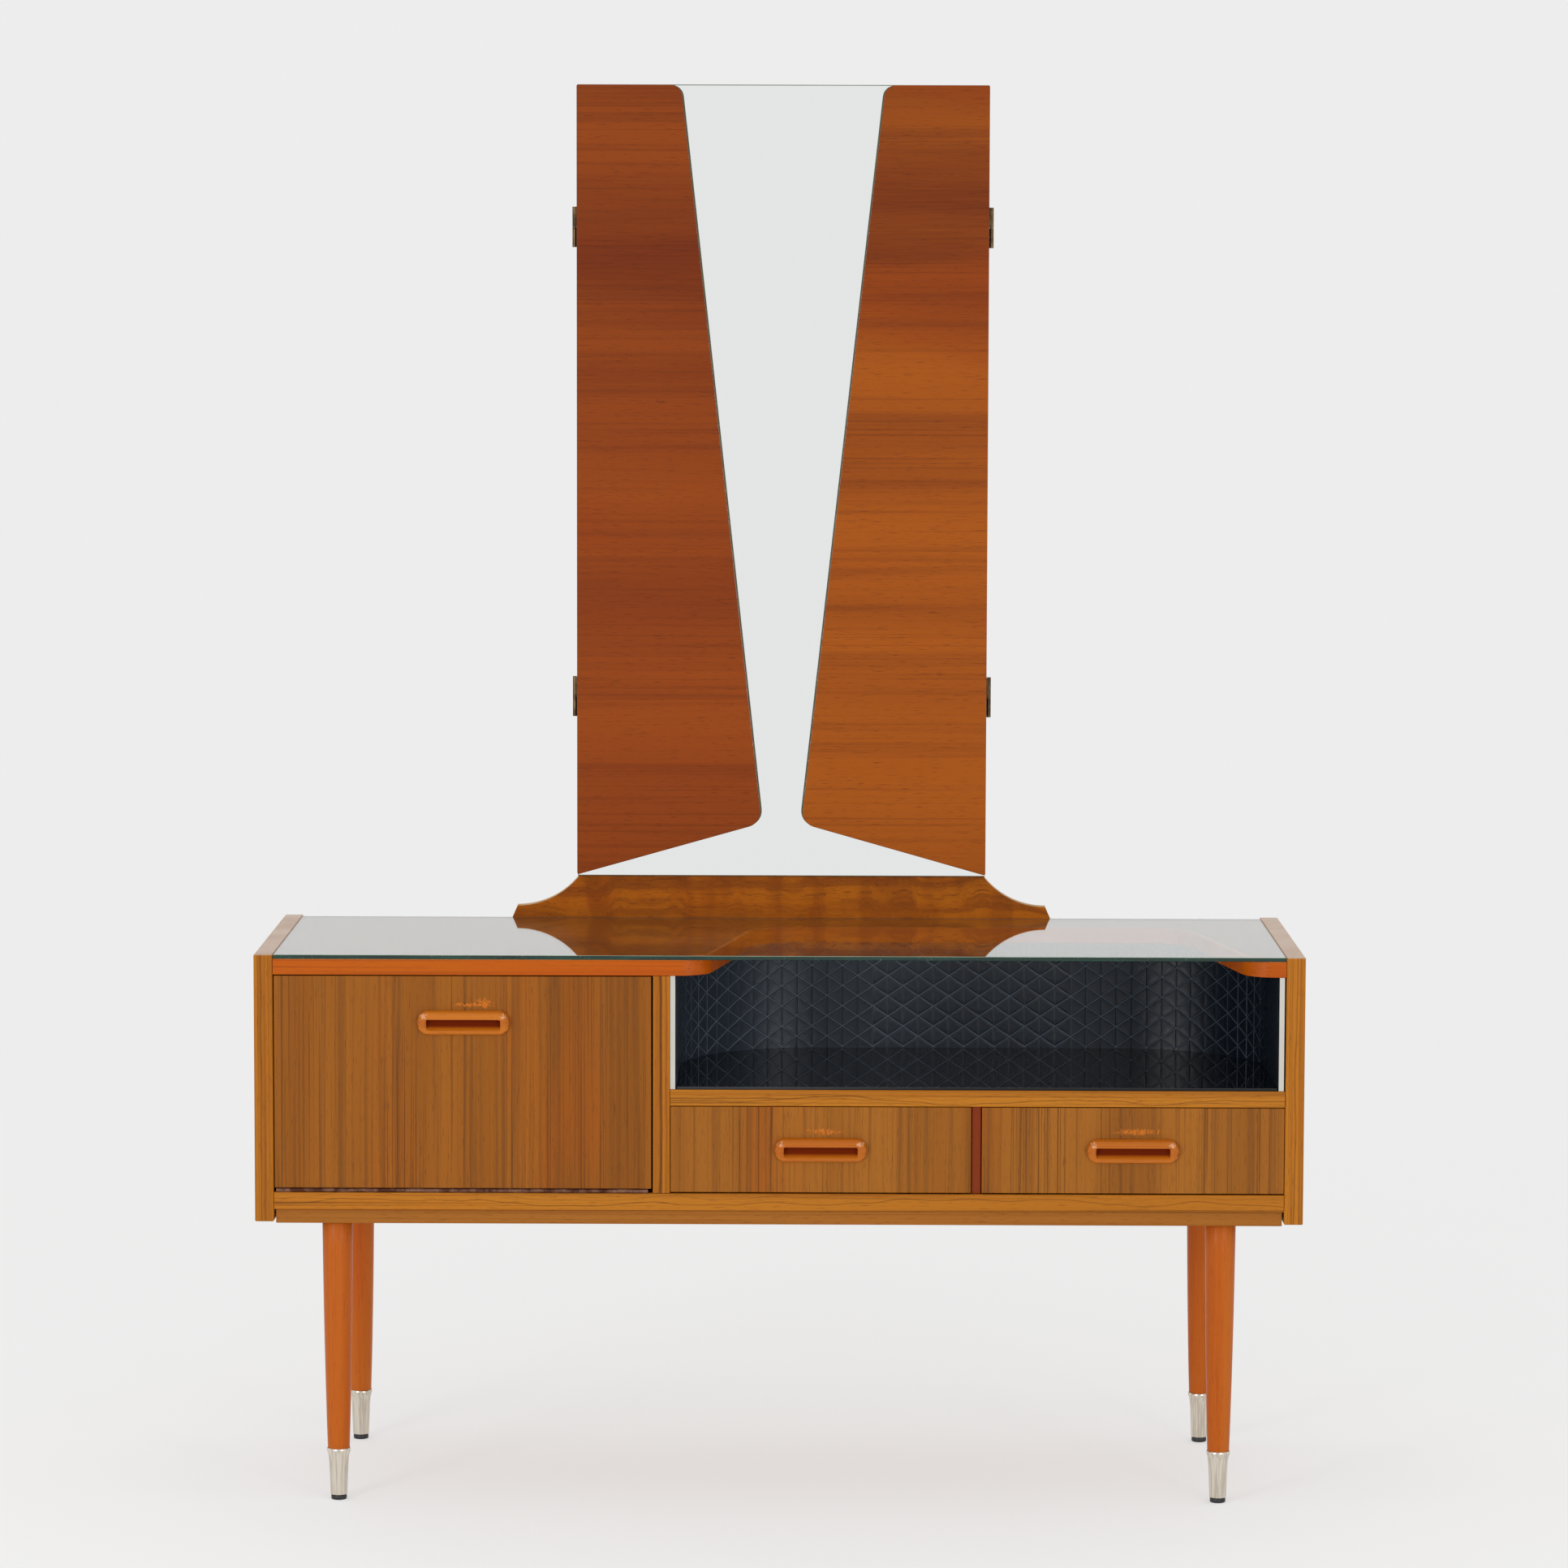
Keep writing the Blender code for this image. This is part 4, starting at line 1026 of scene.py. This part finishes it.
def makeQuilt():
    low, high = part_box("niche_vinyl")
    skin = quilt["skin"]
    line = {"left": low.x + skin, "right": high.x - skin, "front": low.y}
    line["straight"] = (high.y - skin) - low.y - quilt["radius"]
    line["arc"] = quilt["radius"] * math.pi / 2
    line["back"] = line["right"] - line["left"] - 2 * quilt["radius"]
    length = 2 * line["straight"] + 2 * line["arc"] + line["back"]
    tall = high.z - low.z
    side = quilt["side"]
    column = quilt["column"]

    # A flat sheet of triangles with one side upright, cut to the lining's size.
    bm = bmesh.new()
    columns = int(length / column) + 3
    rows = int(tall / side) + 3
    grid = {}
    for i in range(columns):
        for j in range(rows):
            shift = side / 2 if i % 2 else 0.0
            height = (j - 1) * side + shift - side * quilt["rowStart"]
            grid[i, j] = bm.verts.new(((i - 1) * column, 0, height))
    for i in range(columns - 1):
        for j in range(rows - 1):
            a, b, c, d = grid[i, j], grid[i, j + 1], grid[i + 1, j], grid[i + 1, j + 1]
            for corners in ((a, c, b), (b, c, d)) if i % 2 == 0 else ((a, c, d), (a, d, b)):
                bm.faces.new(corners)
    ends = (
        ((0, 0, 0), (-1, 0, 0)),
        ((length, 0, 0), (1, 0, 0)),
        ((0, 0, 0), (0, 0, -1)),
        ((0, 0, tall), (0, 0, 1)),
    )
    for spot, away in ends:
        bmesh.ops.bisect_plane(bm, geom=bm.verts[:] + bm.edges[:] + bm.faces[:], dist=1e-6,
                               plane_co=spot, plane_no=away, clear_outer=True)
    slivers = [face for face in bm.faces if face.calc_area() < quilt["sliver"]]
    bmesh.ops.delete(bm, geom=slivers, context="FACES_KEEP_BOUNDARY")
    cells = bm.faces[:]

    def inset(width):
        return bmesh.ops.inset_individual(bm, faces=cells, thickness=quilt[width],
                                          use_even_offset=True)

    # Slanted creases take the painted crease highlight.
    for face in inset("groove")["faces"]:
        longest = max(face.edges, key=lambda edge: edge.calc_length())
        run = longest.verts[0].co.x - longest.verts[1].co.x
        face.material_index = 1 if abs(run) > quilt["slant"] else 0  # the upright creases stay dark
    inset("shoulder")
    raised = {vert for face in cells for vert in face.verts}
    for vert in raised:
        vert.co.y = -quilt["proud"]
    inset("inner")
    for face in cells:
        for vert in face.verts:
            vert.co.y = -(quilt["proud"] - quilt["dish"])
    # Long cells follow the curve of the wall.
    longEdges = [edge for edge in bm.edges if edge.calc_length() > quilt["longEdge"]]
    bmesh.ops.subdivide_edges(bm, edges=longEdges, cuts=2)
    bmesh.ops.triangulate(bm, faces=[face for face in bm.faces if len(face.verts) > 4])
    curveMiddle = line["straight"] + line["arc"] / 2
    for vert in bm.verts:
        gap = abs(min(vert.co.x, length - vert.co.x) - curveMiddle)
        fade = min(1.0, gap / (line["arc"] * quilt["curveReach"])) ** 2
        away = (quilt["proud"] + vert.co.y) * (1 - quilt["flattened"] * fade) + quilt["clear"]
        spot = quiltPath(vert.co.x, away, line)
        vert.co = (spot.x, spot.y, low.z + vert.co.z)
    piece = settle(bm, "quilted_lining", "cabinet", ("vinyl", "creaseHighlight"),
                   ("niche_vinyl",), smoothAngle=28, recalc=False)
    wall = piece.modifiers.new("wall", "SOLIDIFY")
    wall.thickness = quilt["wall"]
    wall.offset = -1


makeQuilt()
print("lining quilted")


def edged(node, body, flat, edge, arris, steps, facing=1, low=None):
    # A merged copy of a flat node: its rims get an arris and its edges their own finish.
    # The face that looks down its axis may have a finish too.
    bm = bmesh.new()
    bm.from_mesh(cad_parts[node].data)
    bmesh.ops.remove_doubles(bm, verts=bm.verts, dist=1e-6)
    bmesh.ops.dissolve_limit(bm, angle_limit=math.radians(1), verts=bm.verts, edges=bm.edges)
    bm.normal_update()
    for face in bm.faces:
        face.material_index = 0 if abs(face.normal[facing]) > 0.9 else 1
        if low and face.normal[facing] < -0.9:
            face.material_index = 2
    rims = [line for line in bm.edges if len({face.material_index for face in line.link_faces}) == 2]
    rounded(bm, rims, arris, steps)
    shown = (flat, edge, low) if low else (flat, edge)
    settle(bm, "finished_" + node, body, shown, (node,), smoothAngle=18, recalc=False)


for side in ("left", "right"):
    wing = f"wing_{side}"
    edged(f"{wing}_board", wing, "wing" + side.capitalize(), "lippedEdge", 0.0009, 2)
    edged(f"{wing}_glass", wing, "mirror", "mirrorEdge", 0.0004, 1, low="mirrorBack")
edged("mirror_glass_centre", "cabinet", "mirror", "mirrorEdge", 0.0004, 1)
edged("top_lipping", "cabinet", "lipping", "lipping", 0.0006, 2, facing=2)
edged("niche_floor_glass", "cabinet", "blackGlass", "blackEdge", 0.0003, 1,
      facing=2)
print("mirror glasses made")


boardShape = {"arcSteps": 24, "tip": (0.3315, 0.6785), "arcRadius": 0.0983, "arris": 0.0008}


def makeMirrorBoard():
    low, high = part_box("mirror_board")
    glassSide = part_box("mirror_glass_centre")[1].x
    tipX, tipZ = boardShape["tip"]
    radius = boardShape["arcRadius"]
    rise = math.asin((tipX - glassSide) / radius)
    sweep = []
    for step in range(boardShape["arcSteps"] + 1):
        angle = rise * step / boardShape["arcSteps"]
        sweep.append((tipX - radius * math.sin(angle), tipZ + radius * (1 - math.cos(angle))))
    half = [(high.x, low.z)] + sweep + [(glassSide, high.z)]
    outline = half + [(-x, z) for x, z in reversed(half)]
    bm = slab(outline, low.y, high.y)
    for face in bm.faces:
        face.material_index = 1 if abs(face.normal.y) < 0.5 else 0 if face.normal.y < 0 else 2
    rims = [edge for edge in bm.edges if len({face.material_index for face in edge.link_faces}) == 2]
    rounded(bm, rims, boardShape["arris"], 2)
    settle(bm, "mirror_backboard", "cabinet", ("foot", "ply", "boardBack"),
           ("mirror_board",), smoothAngle=10, recalc=False)


makeMirrorBoard()
print("mirror board made")


screwShape = {"segments": 14, "flat": 0.72, "slot": 0.14, "depth": 0.7}


def screwHead(radius, rise, at, outward):
    # A raised head with a slot across it.
    bm = bmesh.new()
    flat = screwShape["flat"]
    bmesh.ops.create_circle(bm, cap_ends=True, segments=screwShape["segments"], radius=radius * flat)
    half = radius * screwShape["slot"]
    for away in (-1, 1):
        bmesh.ops.bisect_plane(bm, geom=bm.verts[:] + bm.edges[:] + bm.faces[:], dist=1e-7,
                               plane_co=(away * half, 0, 0), plane_no=(away, 0, 0))
    rim = [edge for edge in bm.edges if edge.is_boundary]
    grown = bmesh.ops.extrude_edge_only(bm, edges=rim)["geom"]
    moved = [item for item in grown if isinstance(item, bmesh.types.BMVert)]
    bmesh.ops.scale(bm, vec=(1 / flat, 1 / flat, 1), verts=moved)
    bmesh.ops.translate(bm, vec=(0, 0, -rise), verts=moved)
    slotFaces = [face for face in bm.faces
                 if abs(face.calc_center_median().x) < half * 0.9 and abs(face.normal.z) > 0.9]
    cut = bmesh.ops.extrude_face_region(bm, geom=slotFaces)["geom"]
    bmesh.ops.translate(bm, vec=(0, 0, -rise * screwShape["depth"]),
                        verts=[item for item in cut if isinstance(item, bmesh.types.BMVert)])
    bmesh.ops.delete(bm, geom=slotFaces, context="FACES")
    bottom = [edge for edge in bm.edges if edge.is_boundary]
    bmesh.ops.holes_fill(bm, edges=bottom)
    bmesh.ops.recalc_face_normals(bm, faces=bm.faces)
    turn = Vector((0, 0, 1)).rotation_difference(Vector(outward)).to_matrix().to_4x4()
    lift = Vector(outward) * rise
    bmesh.ops.transform(bm, matrix=Matrix.Translation(Vector(at) + lift) @ turn, verts=bm.verts)
    return bm


def screwSet(name, body, spots, outward, head, finish):
    bm = bmesh.new()
    for spot in spots:
        joined(bm, screwHead(*head, spot, outward))
    settle(bm, name, body, finish, smoothAngle=30)


# A head is its radius and its rise.
backPins = {
    "head": (0.0018, 0.0005),
    "columns": 12,
    "rows": 4,
    "end": 0.02,
    "inset": 0.011,
}


def makeBackPins():
    look = backPins
    low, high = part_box("back_panel")
    inset = look["inset"]
    spots = []
    for step in range(look["columns"] + 1):
        x = low.x + look["end"] + (high.x - low.x - 2 * look["end"]) * step / look["columns"]
        spots += [(x, high.y, low.z + inset), (x, high.y, high.z - inset)]
    for step in range(1, look["rows"]):
        z = low.z + (high.z - low.z) * step / look["rows"]
        spots += [(low.x + inset, high.y, z), (high.x - inset, high.y, z)]
    screwSet("back_panel_pins", "cabinet", spots, (0, 1, 0), look["head"], "steel")


battenScrews = {
    "head": (0.0042, 0.0010),
    "fromBottom": (0.03, 0.15),
    "heights": (0.80, 1.02),
    "fromTop": 0.03,
}


def makeBattenScrews():
    look = battenScrews
    spots = []
    for side in ("left", "right"):
        low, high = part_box(f"mirror_batten_{side}")
        levels = [low.z + up for up in look["fromBottom"]]
        levels += [*look["heights"], high.z - look["fromTop"]]
        spots += [((low.x + high.x) / 2, high.y, z) for z in levels]
    screwSet("batten_screws", "cabinet", spots, (0, 1, 0), look["head"], "steel")


hingeScrews = {
    "head": (0.0024, 0.0005),
    "leaf": 0.0015,  # from the glass's edge to the leaf's outer face
    "inset": 0.0058,
    "fixed": (0.0062, 0.0186),
    "moving": (0.0312, 0.0438),
}


def makeHingeScrews():
    # Two screws in each leaf of the mirror's hinges.
    look = hingeScrews
    for side, sign in (("left", -1), ("right", 1)):
        face = sign * (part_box("mirror_glass_centre")[1].x + look["leaf"])
        fixedSpots, movingSpots = [], []
        for level in ("lower", "upper"):
            low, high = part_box(f"mirror_hinge_{side}_{level}_fixed")
            base = low.z
            fixedSpots += [(face, high.y - look["inset"], base + up) for up in look["fixed"]]
            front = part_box(f"mirror_hinge_{side}_{level}_moving")[0].y
            movingSpots += [(face, front + look["inset"], base + up) for up in look["moving"]]
        outward = (sign, 0, 0)
        screwSet(f"mirror_hinge_screws_{side}", "cabinet", fixedSpots, outward, look["head"],
                 "hingeMetal")
        screwSet(f"wing_hinge_screws_{side}", f"wing_{side}", movingSpots, outward, look["head"],
                 "hingeMetal")


flapScrews = {"head": (0.0036, 0.0009), "half": 0.0340}


def makeFlapScrews():
    # Two screws behind the flap's handle.
    low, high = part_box("flap_handle")
    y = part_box("flap_panel")[1].y
    x, z = (low.x + high.x) / 2, (low.z + high.z) / 2
    spots = [(x + away * flapScrews["half"], y, z) for away in (-1, 1)]
    screwSet("flap_handle_screws", "flap", spots, (0, 1, 0), flapScrews["head"], "brass")


makeBackPins()
makeBattenScrews()
makeHingeScrews()
makeFlapScrews()
print("fastenings made")


studio = {
    "backdrop": (0.847, 0.847, 0.847, 1.0),
    "floor": (0.46, 0.46, 0.46, 1.0),
    "floorCloud": (0.48, 0.48, 0.48, 1.0),
    "floorGlow": 0.45,
    "floorRadius": 9.0,
    "fade": (2.6, 8.5),  # distances over which the floor turns clear
    "lamps": (
        # place, aim, width, height, watts
        ((-2.6, -3.8, 1.2), (0, 0, 0.6), 1.0, 1.6, 50.0),
        ((2.4, -4.2, 1.0), (0, 0, 0.6), 0.8, 1.4, 34.0),
    ),
}


def makeStudio():
    world = bpy.data.worlds.new("studio")
    scene.world = world
    world.use_nodes = True
    world.node_tree.nodes["Background"].inputs["Color"].default_value = studio["backdrop"]

    bm = bmesh.new()
    bmesh.ops.create_circle(bm, cap_ends=True, segments=96, radius=studio["floorRadius"])
    mesh = bpy.data.meshes.new("floor")
    bm.to_mesh(mesh)
    bm.free()
    floor = bpy.data.objects.new("floor", mesh)
    scene.collection.objects.link(floor)
    finish = Finish("pale_floor")
    x, y, _ = finish.place()
    far = finish.node("VectorMath", {"operation": "LENGTH"}, {0: finish.point(x, y, 0.0)}, out="Value")
    cloud = finish.noise(finish.point(x * 3, y * 3, 0.0), 2.0)
    colour = finish.mix(cloud * 0.2, studio["floor"], studio["floorCloud"])
    finish.shade({"Base Color": colour, "Roughness": 0.9, "Specular IOR Level": 0.0,
                  "Emission Color": (1, 1, 1, 1), "Emission Strength": studio["floorGlow"],
                  "Alpha": finish.rise(far, *studio["fade"], 1.0, 0.0)})
    mesh.materials.append(finish.material)

    for index, (place, aim, width, height, watts) in enumerate(studio["lamps"]):
        lamp = bpy.data.lights.new(f"softbox_{index}", "AREA")
        lamp.shape = "RECTANGLE"
        lamp.size, lamp.size_y, lamp.energy = width, height, watts
        holder = bpy.data.objects.new(lamp.name, lamp)
        scene.collection.objects.link(holder)
        holder.location = place
        holder.rotation_euler = (Vector(aim) - Vector(place)).to_track_quat("-Z", "Y").to_euler()


cameraSettings = {
    "lens": 125.88,
    "sensor": 36.0,
    "place": (0.0367, -6.6641, 1.4899),
    "turn": 0.00492,
    "dip": 0.09574,
    "roll": 0.00264,
}


def makeCamera():
    look = cameraSettings
    data = bpy.data.cameras.new("camera")
    data.lens, data.sensor_width = look["lens"], look["sensor"]
    camera = bpy.data.objects.new("camera", data)
    scene.collection.objects.link(camera)
    turn = Matrix.Rotation(look["turn"], 4, "Z")
    dip = Matrix.Rotation(math.pi / 2 - look["dip"], 4, "X")
    roll = Matrix.Rotation(look["roll"], 4, "Z")
    camera.matrix_world = Matrix.Translation(look["place"]) @ turn @ dip @ roll
    scene.camera = camera


makeStudio()
makeCamera()
scene.view_settings.view_transform = "Standard"
print("studio ready")
